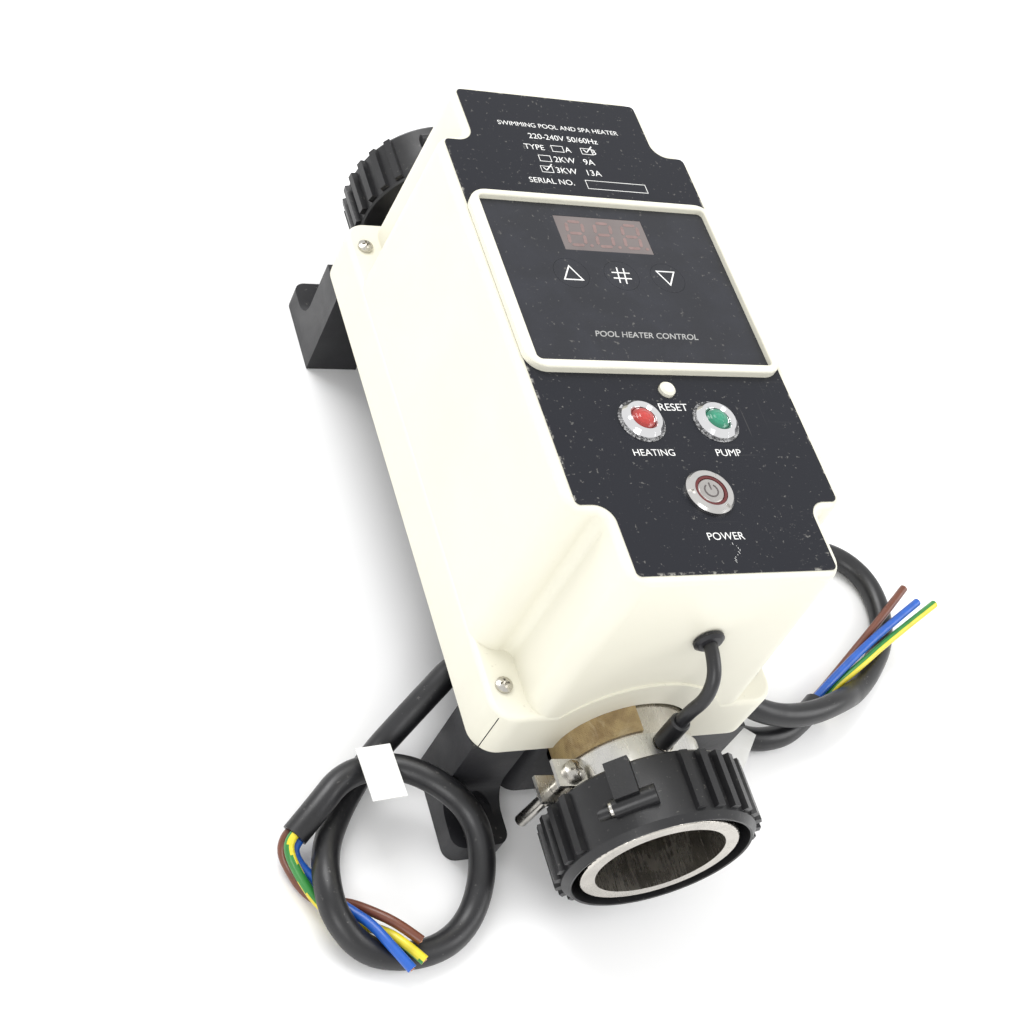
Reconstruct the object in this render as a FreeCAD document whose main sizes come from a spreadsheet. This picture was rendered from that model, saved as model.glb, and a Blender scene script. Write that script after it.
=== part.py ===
import FreeCAD, Part
import math
import os
import Sketcher
from FreeCAD import Placement, Rotation, Vector

# Electric in-line pool and spa heater.
# Frame: +Z up out of the control panel, +Y along the steel tube, +X across
# the panel; the feet stand on Z = 0 under the middle of the housing.

DIMS = {
    # housing cover
    "axis_height": 47.7, "skirt_bottom": 46.0, "skirt_top": 69.0, "cover_top": 148.6,
    "skirt_half_width": 58.4, "skirt_half_length": 116.7, "skirt_corner": 10.0,
    "block_half_width": 58.0, "block_half_length": 116.4,
    "recess_half_width": 44.6, "recess_half_length": 88.6, "draft_angle": 2.0,
    "cover_wall": 2.8, "arch_radius": 26.6, "arch_rim_radius": 39.0,
    # black base and feet
    "trough_half_width": 33.0, "trough_floor": 8.4, "base_wall": 3.0, "base_half_length": 114.4,
    "foot_inner_face": 35.0, "foot_depth": 18.2, "foot_reach": 136.0, "foot_plate": 10.5,
    "foot_hole_spacing_wide": 91.0, "foot_hole_spacing_long": 246.0, "foot_hole": 6.5,
    "foot_counterbore": 14.0, "foot_outer_face": 57.9, "base_plate_top": 49.0, "base_plate_low": 44.9,
    "base_plate_half_width": 55.0, "base_plate_half_length": 112.6,
    # panel
    "label_half_width": 51.75, "label_half_length": 110.86, "label_notch_width": 38.97,
    "label_notch_length": 82.8, "label_thick": 0.4,
    "bezel_half_width": 52.2, "bezel_low": -28.0, "bezel_high": 55.0, "bezel_rise": 3.2,
    "panel_half_width": 47.9, "panel_low": -24.3, "panel_high": 52.1, "panel_thick": 1.0,
    "window_width": 37.4, "window_height": 17.0, "window_centre": 37.8,
    "key_radius": 7.0, "key_pitch": 20.2, "key_centre": 17.8, "key_travel": 0.4,
    "reset_centre": -35.1, "reset_radius": 3.0, "pilot_pitch": 15.0, "pilot_centre": -48.7,
    "pilot_radius": 7.95, "pilot_barrel": 6.0, "pilot_lens": 4.5,
    "switch_centre": -79.3, "switch_radius": 9.0, "switch_barrel": 8.0, "switch_ring": 6.0,
    "switch_cap": 4.9,
    # steel vessel
    "tube_radius": 25.4, "tube_wall": 1.2, "tube_half_length": 165.0, "lip_radius": 29.65,
    "lip_thick": 2.0, "port_radius": 7.0, "port_spacing": 18.0, "port_place": 82.0,
    "element_radius": 4.2, "sensor_place": -132.0, "sensor_boss": 2.9,
    # union nuts
    "nut_radius": 36.0, "nut_opening": 33.0, "nut_neck": 25.8, "nut_length": 26.0,
    "nut_shoulder": 21.0, "rib_radius": 38.3, "rib_width": 4.2, "nut_end": 166.0,
    "lug_width": 4.4, "lug_length": 13.5, "lug_top": 41.5, "boss_radius": 3.4, "boss_width": 6.2,
    "mound_width": 9.5, "nut_screw_reach": 36.3, "nut_screw_place": 11.5,
    "nut_screw_radius": 1.5,
    # bonding clamp
    "strap_wide": 10.5, "strap_thick": 1.0, "clamp_place": -133.3, "ear_reach": 38.5,
    "ear_gap": 10.4, "clamp_tilt": 9.0, "clamp_bolt": 2.4,
    # cords
    "cord_diameter": 10.0, "core_diameter": 3.7, "lead_diameter": 5.0,
    "tag_width": 13.5, "tag_length": 21.0, "tag_thick": 0.5,
}

# Places used by more than one piece, as (across, along) or (across, up) cell expressions.
SCREW_X = "51.6"
SCREW_Y = "102.9"
FOUR_CORNERS = [(a + SCREW_X, b + SCREW_Y) for a in ("", "-") for b in ("", "-")]
LEAD_X = "4.1"
LEAD_Z = "114.4"
GLAND_Y = "-72"
GLAND_Z = "36"
ORIGIN = ("0", "0", "0")

doc = FreeCAD.newDocument("pool_heater")
sheet = doc.addObject("Spreadsheet::Sheet", "dims")
for row, (alias, value) in enumerate(DIMS.items(), start=1):
    sheet.set("A%d" % row, alias)
    sheet.set("B%d" % row, str(value))
    sheet.setAlias("B%d" % row, alias)
doc.recompute()

NODES = []


def dim(alias):
    """Value of a cell of the sheet."""
    return float(sheet.get(alias))


def bind(thing, prop, expression):
    """Bind a property to cells; every alias in the expression is written as <alias>."""
    thing.setExpression(prop, str(expression).replace("<", "dims.").replace(">", ""))


def node(thing, label):
    """Give an object its file name and list it for export."""
    thing.Label = label
    NODES.append(thing)
    return thing


# ---------------------------------------------------------------- PartDesign helpers

def evaluate(expression):
    """Number that a cell expression stands for."""
    text = str(expression)
    for alias in sorted(DIMS, key=len, reverse=True):
        text = text.replace("<%s>" % alias, "(%r)" % DIMS[alias])
    return float(FreeCAD.Units.Quantity(text).Value)


def new_body(name):
    return doc.addObject("PartDesign::Body", name)


def sketch_on(body, name, role="XY_Plane", offset="0"):
    """Empty sketch on an origin plane, lifted along the plane's normal."""
    sketch = body.newObject("Sketcher::SketchObject", name)
    plane = next(o for o in body.Origin.OriginFeatures if o.Role == role)
    sketch.AttachmentSupport = [(plane, "")]
    sketch.MapMode = "FlatFace"
    bind(sketch, "AttachmentOffset.Base.z", offset)
    return sketch


def fix_point(sketch, index, position, corner):
    """Hold a sketch point at a pair of cell expressions measured from the origin."""
    for kind, expression in (("DistanceX", corner[0]), ("DistanceY", corner[1])):
        value = evaluate(expression)
        row = sketch.addConstraint(Sketcher.Constraint(kind, -1, 1, index, position, value))
        if "<" in str(expression):
            bind(sketch, "Constraints[%d]" % row, expression)


def outline(body, name, corners, role="XY_Plane", offset="0"):
    """Closed straight-sided sketch; each corner is a pair of cell expressions."""
    sketch = sketch_on(body, name, role, offset)
    count = len(corners)
    points = [Vector(evaluate(x), evaluate(y), 0) for x, y in corners]
    for k in range(count):
        sketch.addGeometry(Part.LineSegment(points[k], points[(k + 1) % count]), False)
    for k in range(count):
        sketch.addConstraint(Sketcher.Constraint("Coincident", k, 2, (k + 1) % count, 1))
    for k, corner in enumerate(corners):
        fix_point(sketch, k, 1, corner)
    return sketch


def rectangle(body, name, low, high, role="XY_Plane", offset="0"):
    """Sketch of a rectangle between two corners."""
    corners = [low, (high[0], low[1]), high, (low[0], high[1])]
    return outline(body, name, corners, role, offset)


def circles(body, name, places, radius, role="XY_Plane", offset="0"):
    """Sketch of equal circles at pairs of cell expressions."""
    sketch = sketch_on(body, name, role, offset)
    for k, (x, y) in enumerate(places):
        centre = Vector(evaluate(x), evaluate(y), 0)
        sketch.addGeometry(Part.Circle(centre, Vector(0, 0, 1), evaluate(radius)), False)
        fix_point(sketch, k, 3, (x, y))
        row = sketch.addConstraint(Sketcher.Constraint("Radius", k, evaluate(radius)))
        bind(sketch, "Constraints[%d]" % row, radius)
    return sketch


def extrude(body, kind, sketch, length, taper="0", midplane=False, back=False):
    """Pad or Pocket of a sketch; back turns it round."""
    before = body.Shape.Volume if body.Tip else 0.0
    feature = body.newObject("PartDesign::" + kind, sketch.Name + "_" + kind.lower())
    feature.Profile = sketch
    bind(feature, "Length", length)
    bind(feature, "TaperAngle", taper)
    feature.Midplane = midplane
    feature.Reversed = back
    sketch.Visibility = False
    doc.recompute()
    change = feature.Shape.Volume - before
    if (change <= 0) == (kind == "Pad"):
        raise RuntimeError("%s of %s changed the volume by %.3f" % (kind, sketch.Name, change))
    return feature


def pad(body, sketch, length, **how):
    return extrude(body, "Pad", sketch, length, **how)


def pocket(body, sketch, length, **how):
    return extrude(body, "Pocket", sketch, length, **how)


def revolve(body, sketch, axis="V_Axis", kind="Revolution", angle="360"):
    feature = body.newObject("PartDesign::" + kind, sketch.Name + "_turn")
    feature.Profile = sketch
    feature.ReferenceAxis = (sketch, [axis])
    bind(feature, "Angle", angle)
    sketch.Visibility = False
    doc.recompute()
    return feature


def dress(body, kind, radius, chosen):
    """Fillet or Chamfer on the edges of the tip for which chosen(edge) is true."""
    base = body.Tip
    names = ["Edge%d" % (k + 1) for k, edge in enumerate(base.Shape.Edges) if chosen(edge)]
    if not names:
        raise RuntimeError("no edge to dress on " + body.Name)
    feature = body.newObject("PartDesign::" + kind, "%s_%s%d" % (body.Name, kind, len(body.Group)))
    feature.Base = (base, names)
    bind(feature, "Radius" if kind == "Fillet" else "Size", radius)
    doc.recompute()
    if "Invalid" in feature.State:
        raise RuntimeError("%s of %s failed" % (kind, body.Name))
    return feature


def upright(edge):
    """Straight edge that stands within a few degrees of vertical (drafted corners included)."""
    ends = [v.Point for v in edge.Vertexes]
    return len(ends) == 2 and abs(ends[1].z - ends[0].z) > 0.98 * edge.Length


def at_height(edge, level):
    return all(abs(v.Point.z - level) < 0.01 for v in edge.Vertexes)


def turned(label, corners, base=("0", "0", "0"), turn=None):
    """Piece turned about its own Z from a profile of (radius, height) corners."""
    body = new_body(label)
    revolve(body, outline(body, label + "_profile", corners, "XZ_Plane"))
    settle(body, base, turn)
    return node(body, label)


def settle(thing, base, turn=None):
    """Place an object at three cell expressions, turned by (axis, angle); no base leaves it free."""
    if turn:
        thing.Placement = Placement(Vector(), Rotation(Vector(*turn[0]), turn[1]))
    for axis, expression in zip("xyz", base or ()):
        bind(thing, "Placement.Base." + axis, expression)


def plate(label, low, high, level, thick):
    """Rectangular plate lying flat."""
    body = new_body(label)
    pad(body, rectangle(body, label + "_outline", low, high, offset=level), thick)
    return node(body, label)


# ---------------------------------------------------------------- primitive helpers

def block(name, size, corner=None):
    thing = doc.addObject("Part::Box", name)
    for prop, expression in zip(("Length", "Width", "Height"), size):
        bind(thing, prop, expression)
    settle(thing, corner)
    return thing


def rod(name, radius, height, base, turn=None):
    thing = doc.addObject("Part::Cylinder", name)
    bind(thing, "Radius", radius)
    bind(thing, "Height", height)
    settle(thing, base, turn)
    return thing


def hexagon(name, radius, height, base=None):
    thing = doc.addObject("Part::Prism", name)
    thing.Polygon = 6
    bind(thing, "Circumradius", radius)
    bind(thing, "Height", height)
    settle(thing, base)
    return thing


def cut(name, base, tool):
    thing = doc.addObject("Part::Cut", name)
    thing.Base = base
    thing.Tool = tool
    return thing


def fuse(name, pieces):
    thing = doc.addObject("Part::MultiFuse", name)
    thing.Shapes = pieces
    return thing


def group(label, pieces):
    """Separate equal pieces that share one node."""
    thing = doc.addObject("Part::Compound", label)
    thing.Links = pieces
    return node(thing, label)


def pan_screw(name, radius, rise, shank, length, base=None, turn=None):
    """Cross-recess pan-head screw: head above its own Z = 0, shank below."""
    head = rod(name + "_head", radius, rise, ORIGIN)
    dome = doc.addObject("Part::Sphere", name + "_dome")
    bind(dome, "Radius", "%s * 1.6" % radius)
    bind(dome, "Placement.Base.z", "%s - %s * 1.6" % (rise, radius))
    crown = doc.addObject("Part::MultiCommon", name + "_crown")
    crown.Shapes = [head, dome]
    stem = rod(name + "_stem", shank, length, ("0", "0", "-(%s)" % length))
    solid = fuse(name + "_solid", [crown, stem])
    arm = "%s * 1.2" % radius
    half = "-(%s) * 0.6" % radius
    slots = [block(name + "_slot_a", (arm, "0.9", rise), (half, "-0.45", "%s * 0.45" % rise)),
             block(name + "_slot_b", ("0.9", arm, rise), ("-0.45", half, "%s * 0.45" % rise))]
    screw = cut(name, solid, fuse(name + "_recess", slots))
    settle(screw, base, turn)
    return screw


# ---------------------------------------------------------------- routed tubes

def route_wire(points):
    """Straight runs joined by tangent arcs; returns the wire and the arc radii."""
    edges = []
    radii = []
    start = points[0]
    for k in range(1, len(points) - 1):
        before = points[k] - points[k - 1]
        after = points[k + 1] - points[k]
        half_turn = before.getAngle(after) / 2
        setback = 0.45 * min(before.Length, after.Length)
        radii.append(setback / math.tan(half_turn))
        first = points[k] - before.normalize() * setback
        last = points[k] + after.normalize() * setback
        inward = (first + last) * 0.5 - points[k]
        apex = radii[-1] * (1 / math.cos(half_turn) - 1)
        middle = points[k] + inward.normalize() * apex
        edges.append(Part.LineSegment(start, first).toShape())
        edges.append(Part.Arc(first, middle, last).toShape())
        start = last
    edges.append(Part.LineSegment(start, points[-1]).toShape())
    return Part.Wire(edges), radii


def routed(label, points, diameter):
    """Round cord, core or bar along a route; its bends and volume are reported."""
    points = [Vector(*p) for p in points]
    wire, radii = route_wire(points)
    section = Part.Wire(Part.Circle(points[0], points[1] - points[0], diameter / 2).toShape())
    tube = wire.makePipeShell([section], True, False)
    thing = doc.addObject("Part::Feature", label)
    thing.Shape = tube
    expected = wire.Length * math.pi * diameter ** 2 / 4
    print("%s: length %.0f, tightest bend %.1f, volume ratio %.4f"
          % (label, wire.Length, min(radii, default=0), tube.Volume / expected))
    return node(thing, label)


# ---------------------------------------------------------------- housing cover

def notched(name, body, half_x, half_y, notch_x, notch_y, offset):
    """Rectangle with its four corners notched, on a level plane."""
    quarter = [(half_x, notch_y), (notch_x, notch_y), (notch_x, half_y)]
    corners = [(x, y) for x, y in quarter]
    corners += [("-(%s)" % x, y) for x, y in reversed(quarter)]
    corners += [("-(%s)" % x, "-(%s)" % y) for x, y in quarter]
    corners += [(x, "-(%s)" % y) for x, y in reversed(quarter)]
    return outline(body, name, corners, offset=offset)


def make_cover():
    body = new_body("cover")
    wall = "<cover_wall>"
    skirt = rectangle(body, "cover_skirt", ("-<skirt_half_width>", "-<skirt_half_length>"),
                      ("<skirt_half_width>", "<skirt_half_length>"), offset="<skirt_bottom>")
    pad(body, skirt, "<skirt_top> - <skirt_bottom>")
    dress(body, "Fillet", "<skirt_corner>", upright)
    dress(body, "Fillet", "2", lambda e: at_height(e, dim("skirt_top")))
    shell = notched("cover_block", body, "<block_half_width>", "<block_half_length>",
                    "<recess_half_width>", "<recess_half_length>", "<skirt_top> - 4")
    pad(body, shell, "<cover_top> - <skirt_top> + 4", taper="-<draft_angle>")

    def corner_near(half_x, half_y):
        def chosen(edge):
            middle = edge.CenterOfMass
            return (upright(edge) and middle.z > dim("skirt_top") and abs(abs(middle.x) - half_x) < 3
                    and abs(abs(middle.y) - half_y) < 3)
        return chosen

    dress(body, "Fillet", "9", corner_near(dim("block_half_width"), dim("recess_half_length")))
    dress(body, "Fillet", "8", corner_near(dim("recess_half_width"), dim("block_half_length")))
    dress(body, "Fillet", "4", corner_near(dim("recess_half_width"), dim("recess_half_length")))
    dress(body, "Fillet", "2.4", lambda e: at_height(e, dim("cover_top")))
    for side, back in (("front", True), ("rear", False)):
        place = "<skirt_half_length>" if side == "front" else "-<skirt_half_length>"
        rim = circles(body, "cover_rim_" + side, [("0", "<axis_height>")], "<arch_rim_radius>", "XZ_Plane",
                      place)
        pad(body, rim, "4", back=back)
    pocket(body, rectangle(body, "cover_underside", ("-60", "-120"), ("60", "120"),
                           offset="<skirt_bottom>"), "50")
    inner = rectangle(body, "cover_skirt_inside",
                      ("-<skirt_half_width> + <cover_wall>", "-<skirt_half_length> + <cover_wall>"),
                      ("<skirt_half_width> - <cover_wall>", "<skirt_half_length> - <cover_wall>"),
                      offset="<skirt_bottom>")
    pocket(body, inner, "<skirt_top> - <skirt_bottom> - <cover_wall>", back=True)
    hollow = notched("cover_inside", body, "<block_half_width> - " + wall, "<block_half_length> - " + wall,
                     "<recess_half_width> - " + wall, "<recess_half_length> - " + wall,
                     "<skirt_top> - <cover_wall> - 0.1")
    pocket(body, hollow, "<cover_top> - <skirt_top>", taper="-<draft_angle>", back=True)
    bosses = circles(body, "cover_bosses", FOUR_CORNERS, "4.4", offset="<base_plate_top> + 0.2")
    pad(body, bosses, "<skirt_top> - <base_plate_top> - 1")
    pocket(body, circles(body, "cover_screw_holes", FOUR_CORNERS, "1.8", offset="<skirt_top>"), "30")
    arch = circles(body, "cover_arches", [("0", "<axis_height>")], "<arch_radius>", "XZ_Plane")
    pocket(body, arch, "240", midplane=True)
    pocket(body, rectangle(body, "cover_display_opening", ("-32", "8"), ("32", "48"), offset="<cover_top>"),
           "6")
    reset = circles(body, "cover_reset_hole", [("0", "<reset_centre>")], "<reset_radius> + 0.3",
                    offset="<cover_top>")
    pocket(body, reset, "6")
    pilots = circles(body, "cover_pilot_holes",
                     [("<pilot_pitch>", "<pilot_centre>"), ("-<pilot_pitch>", "<pilot_centre>")],
                     "<pilot_barrel> + 0.1", offset="<cover_top>")
    pocket(body, pilots, "6")
    switch = circles(body, "cover_switch_hole", [("0", "<switch_centre>")], "<switch_barrel> + 0.1",
                     offset="<cover_top>")
    pocket(body, switch, "6")
    lead = circles(body, "cover_lead_hole", [(LEAD_X, LEAD_Z)], "4.2", "XZ_Plane", "120")
    pocket(body, lead, "12")
    return node(body, "cover")


# ---------------------------------------------------------------- base with feet

def make_base():
    body = new_body("base_shell")
    trough = rectangle(body, "base_trough", ("-<trough_half_width>", "-<base_half_length>"),
                       ("<trough_half_width>", "<base_half_length>"), offset="<trough_floor>")
    pad(body, trough, "<skirt_bottom> - <trough_floor> - 0.1")
    dress(body, "Fillet", "8", upright)
    flat = rectangle(body, "base_plate", ("-<base_plate_half_width>", "-<base_plate_half_length>"),
                     ("<base_plate_half_width>", "<base_plate_half_length>"), offset="<base_plate_low>")
    pad(body, flat, "<base_plate_top> - <base_plate_low>")
    foot = [("<base_half_length> - <foot_depth>", "0"), ("<foot_reach>", "0"),
            ("<foot_reach>", "<foot_plate>"), ("<base_half_length>", "<foot_plate>"),
            ("<base_half_length>", "<skirt_bottom> - 0.1"),
            ("<base_half_length> - <foot_depth>", "<skirt_bottom> - 0.1")]
    for end, sign in (("front", "-"), ("rear", "")):
        corners = [(sign + "(%s)" % y, z) for y, z in foot]
        for side, start in (("left", "-<foot_outer_face>"), ("right", "<foot_inner_face>")):
            profile = outline(body, "base_foot_%s_%s" % (end, side), corners, "YZ_Plane", start)
            pad(body, profile, "<foot_outer_face> - <foot_inner_face>")
    level, root = dim("foot_plate"), dim("base_half_length")
    dress(body, "Fillet", "10", lambda e: at_height(e, level) and abs(abs(e.CenterOfMass.y) - root) < 0.01
          and abs(e.CenterOfMass.x) > 35)
    dress(body, "Fillet", "5", lambda e: upright(e) and abs(abs(e.CenterOfMass.y) - dim("foot_reach")) < 0.01)
    inside = rectangle(body, "base_inside", ("-<trough_half_width> + <base_wall>",
                                             "-<base_half_length> + <base_wall>"),
                       ("<trough_half_width> - <base_wall>", "<base_half_length> - <base_wall>"),
                       offset="<trough_floor> + <base_wall>")
    pocket(body, inside, "60", back=True)
    hole = circles(body, "base_tube_holes", [("0", "<axis_height>")], "<tube_radius> + 0.1", "XZ_Plane")
    pocket(body, hole, "240", midplane=True)
    relief = circles(body, "base_wrap_relief", [("0", "<axis_height>")], "<arch_radius>", "XZ_Plane",
                     "<base_half_length> + 1")
    pocket(body, relief, "5")
    holes = [("<foot_hole_spacing_wide> / 2 * %d" % a, "<foot_hole_spacing_long> / 2 * %d" % b)
             for a in (-1, 1) for b in (-1, 1)]
    pocket(body, circles(body, "base_foot_holes", holes, "<foot_hole> / 2", offset="<foot_plate>"), "20")
    bores = circles(body, "base_counterbores", holes, "<foot_counterbore> / 2", offset="<foot_plate>")
    pocket(body, bores, "12", back=True)
    pocket(body, circles(body, "base_screw_holes", FOUR_CORNERS, "1.6", offset="<base_plate_top>"), "18")
    glands = circles(body, "base_gland_holes", [(GLAND_Y, GLAND_Z)], "6.5", "YZ_Plane")
    pocket(body, glands, "80", midplane=True)
    return node(body, "base_shell")


def make_cover_screws():
    screws = [pan_screw("cover_screw_%d" % k, "3.15", "2.3", "1.5", "30", (x, y, "<skirt_top> + 0.05"))
              for k, (x, y) in enumerate(FOUR_CORNERS)]
    return group("cover_screws", screws)


# ---------------------------------------------------------------- panel

LABEL_TOP = "<cover_top> + <label_thick>"
PANEL_TOP = "<cover_top> + <panel_thick>"


def make_label():
    body = new_body("front_label")
    shape = notched("label_outline", body, "<label_half_width>", "<label_half_length>",
                    "<label_notch_width>", "<label_notch_length>", "<cover_top>")
    pad(body, shape, "<label_thick>")

    def notch(edge):
        middle = edge.CenterOfMass
        return (upright(edge) and abs(abs(middle.x) - dim("label_notch_width")) < 0.1
                and abs(abs(middle.y) - dim("label_notch_length")) < 0.1)

    dress(body, "Fillet", "7", notch)
    dress(body, "Fillet", "2", lambda e: upright(e) and abs(e.CenterOfMass.y) > dim("label_notch_length") - 0.1
          and e.Length < 1 and not 60 < abs(e.CenterOfMass.y) < 82)
    opening = rectangle(body, "label_opening", ("-<panel_half_width> - 0.1", "<panel_low> - 0.1"),
                        ("<panel_half_width> + 0.1", "<panel_high> + 0.1"), offset=LABEL_TOP)
    pocket(body, opening, "2")
    for name, places, radius in (
            ("reset", [("0", "<reset_centre>")], "<reset_radius> + 0.3"),
            ("pilot", [("<pilot_pitch>", "<pilot_centre>"), ("-<pilot_pitch>", "<pilot_centre>")],
             "<pilot_barrel> + 0.1"),
            ("switch", [("0", "<switch_centre>")], "<switch_barrel> + 0.1")):
        pocket(body, circles(body, "label_%s_holes" % name, places, radius, offset=LABEL_TOP), "2")
    return node(body, "front_label")


def make_bezel():
    body = new_body("control_gasket")
    outer = rectangle(body, "gasket_outer", ("-<bezel_half_width>", "<bezel_low>"),
                      ("<bezel_half_width>", "<bezel_high>"), offset=LABEL_TOP)
    pad(body, outer, "<bezel_rise>")
    dress(body, "Fillet", "8", upright)
    inner = rectangle(body, "gasket_inner", ("-<panel_half_width> - 0.1", "<panel_low> - 0.1"),
                      ("<panel_half_width> + 0.1", "<panel_high> + 0.1"),
                      offset=LABEL_TOP + " + <bezel_rise>")
    pocket(body, inner, "<bezel_rise> + 1")
    dress(body, "Fillet", "2", lambda e: upright(e) and abs(e.CenterOfMass.x) < dim("panel_half_width") + 0.2)
    dress(body, "Fillet", "1", lambda e: at_height(e, dim("cover_top") + dim("label_thick") + dim("bezel_rise")))
    return node(body, "control_gasket")


KEYS = {"key_up": "-<key_pitch>", "key_set": "0.6", "key_down": "<key_pitch>"}


def make_panel():
    body = new_body("control_panel")
    flat = rectangle(body, "panel_outline", ("-<panel_half_width>", "<panel_low>"),
                     ("<panel_half_width>", "<panel_high>"), offset="<cover_top>")
    pad(body, flat, "<panel_thick>")
    dress(body, "Fillet", "2.3", upright)
    window = rectangle(body, "panel_window", ("-<window_width> / 2",
                                              "<window_centre> - <window_height> / 2"),
                       ("<window_width> / 2", "<window_centre> + <window_height> / 2"), offset=PANEL_TOP)
    pocket(body, window, "3")
    places = [(x, "<key_centre>") for x in KEYS.values()]
    pocket(body, circles(body, "panel_key_holes", places, "<key_radius> + 0.08", offset=PANEL_TOP), "3")
    node(body, "control_panel")
    plate("display_window", ("-<window_width> / 2 + 0.05", "<window_centre> - <window_height> / 2 + 0.05"),
          ("<window_width> / 2 - 0.05", "<window_centre> + <window_height> / 2 - 0.05"), "<cover_top>",
          "0.9")
    plate("display_module", ("-18.8", "<window_centre> - 9.5"), ("18.8", "<window_centre> + 9.5"),
          "<cover_top> - 7.2", "7")
    for label, x in KEYS.items():
        key = rod(label, "<key_radius>", "<panel_thick>", (x, "<key_centre>", "<cover_top>"))
        node(key, label)


BOARD_LEVEL = "<cover_top> - 10.6"


def make_electronics():
    plate("control_board", ("-42", "-18"), ("42", "50"), BOARD_LEVEL, "1.6")
    switches = []
    for k, x in enumerate(KEYS.values()):
        case = block("tact_case_%d" % k, ("6", "6", "4.3"), (x + " - 3", "<key_centre> - 3",
                                                             BOARD_LEVEL + " + 1.7"))
        pin = rod("tact_pin_%d" % k, "1.75", "3.6", (x, "<key_centre>", BOARD_LEVEL + " + 6"))
        switches.append(fuse("tact_%d" % k, [case, pin]))
    group("key_switches", switches)
    posts = [rod("board_post_%d" % k, "3", "6", (x, y, BOARD_LEVEL + " + 1.65"))
             for k, (x, y) in enumerate([("37.5", "-14"), ("-37.5", "-14"), ("37.5", "46"),
                                         ("-37.5", "46")])]
    group("board_posts", posts)
    body = new_body("inner_chassis")
    bridge = [("-43.5", "49.2"), ("-42", "49.2"), ("-42", "79.5"), ("42", "79.5"), ("42", "49.2"),
              ("43.5", "49.2"),
              ("43.5", "81"), ("-43.5", "81")]
    pad(body, outline(body, "chassis_section", bridge, "XZ_Plane"), "120", midplane=True)
    node(body, "inner_chassis")
    plate("terminal_block", ("-30", "20"), ("30", "36"), "81.1", "15")
    plate("heater_relay", ("-32", "-35"), ("-4", "5"), "81.1", "26")
    plate("pump_relay", ("6", "-30"), ("26", "0"), "81.1", "18")
    cutout = [("0", "0"), ("12", "0"), ("12", "1.2"), ("8.5", "1.2"), ("8.5", "9"), ("0", "9")]
    turned("overheat_cutout", cutout, ("0", "-78", "<axis_height> + <tube_radius> + 0.1"))


def make_reset():
    cap = [("0", "0"), ("1.6", "0"), ("1.6", "16.5"), ("<reset_radius>", "16.5"), ("<reset_radius>", "20.6"),
           ("<reset_radius> - 0.8", "21.4"), ("0", "21.4")]
    turned("reset_button", cap, ("0", "<reset_centre>", "<cover_top> - 19"))
    case = [("0", "0"), ("8", "0"), ("8", "12"), ("3.2", "12"), ("3.2", "16.5"), ("0", "16.5")]
    turned("reset_thermostat", case, ("0", "<reset_centre>", "<cover_top> - 38"))
    body = new_body("reset_bracket")
    cup = [("-12.5", "26.1"), ("12.5", "26.1"), ("12.5", "35.7"), ("11", "35.7"), ("11", "27.6"),
           ("-11", "27.6"),
           ("-11", "35.7"), ("-12.5", "35.7")]
    section = outline(body, "bracket_section", [(x, "<cover_top> - 38.7 + " + z) for x, z in cup],
                      "XZ_Plane",
                      "-(<reset_centre>)")
    pad(body, section, "10", midplane=True)
    stem = circles(body, "bracket_hole", [("0", "<reset_centre>")], "3.3", offset="<cover_top> - 10")
    pocket(body, stem, "3")
    node(body, "reset_bracket")


def make_pilot(label, x):
    housing = [("0", "0"), ("<pilot_barrel>", "0"), ("<pilot_barrel>", "24.5"), ("<pilot_radius>", "24.5"),
               ("<pilot_radius>", "25.4"), ("<pilot_radius> - 1.2", "26.8"), ("<pilot_lens> + 0.9", "27.2"),
               ("<pilot_lens> + 0.1", "26.2"), ("<pilot_lens> + 0.1", "22"), ("0", "22")]
    turned(label + "_housing", housing, (x, "<pilot_centre>", LABEL_TOP + " - 24.2"))
    lens = [("0", "0"), ("<pilot_lens>", "0"), ("<pilot_lens>", "3.9"), ("<pilot_lens> - 1", "4.9"),
            ("<pilot_lens> - 2.6", "5.4"), ("0", "5.6")]
    turned(label + "_lens", lens, (x, "<pilot_centre>", LABEL_TOP + " - 2.1"))


def make_indicators():
    make_pilot("heat_light", "-<pilot_pitch>")
    make_pilot("pump_light", "<pilot_pitch>")
    washers = []
    nuts = []
    for k, x in enumerate(("-<pilot_pitch>", "<pilot_pitch>")):
        disc = rod("pilot_disc_%d" % k, "8.9", "0.25", (x, "<pilot_centre>", LABEL_TOP + " + 0.02"))
        hole = rod("pilot_disc_hole_%d" % k, "<pilot_barrel> + 0.1", "2",
                   (x, "<pilot_centre>", "<cover_top>"))
        washers.append(cut("pilot_washer_%d" % k, disc, hole))
        nut = hexagon("pilot_hex_%d" % k, "8.4", "3", (x, "<pilot_centre>",
                                                       "<cover_top> - <cover_wall> - 3.3"))
        bore = rod("pilot_hex_hole_%d" % k, "<pilot_barrel> + 0.05", "9",
                   (x, "<pilot_centre>", "<cover_top> - 10"))
        nuts.append(cut("pilot_nut_%d" % k, nut, bore))
    group("pilot_washers", washers)
    group("pilot_nuts", nuts)


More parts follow.
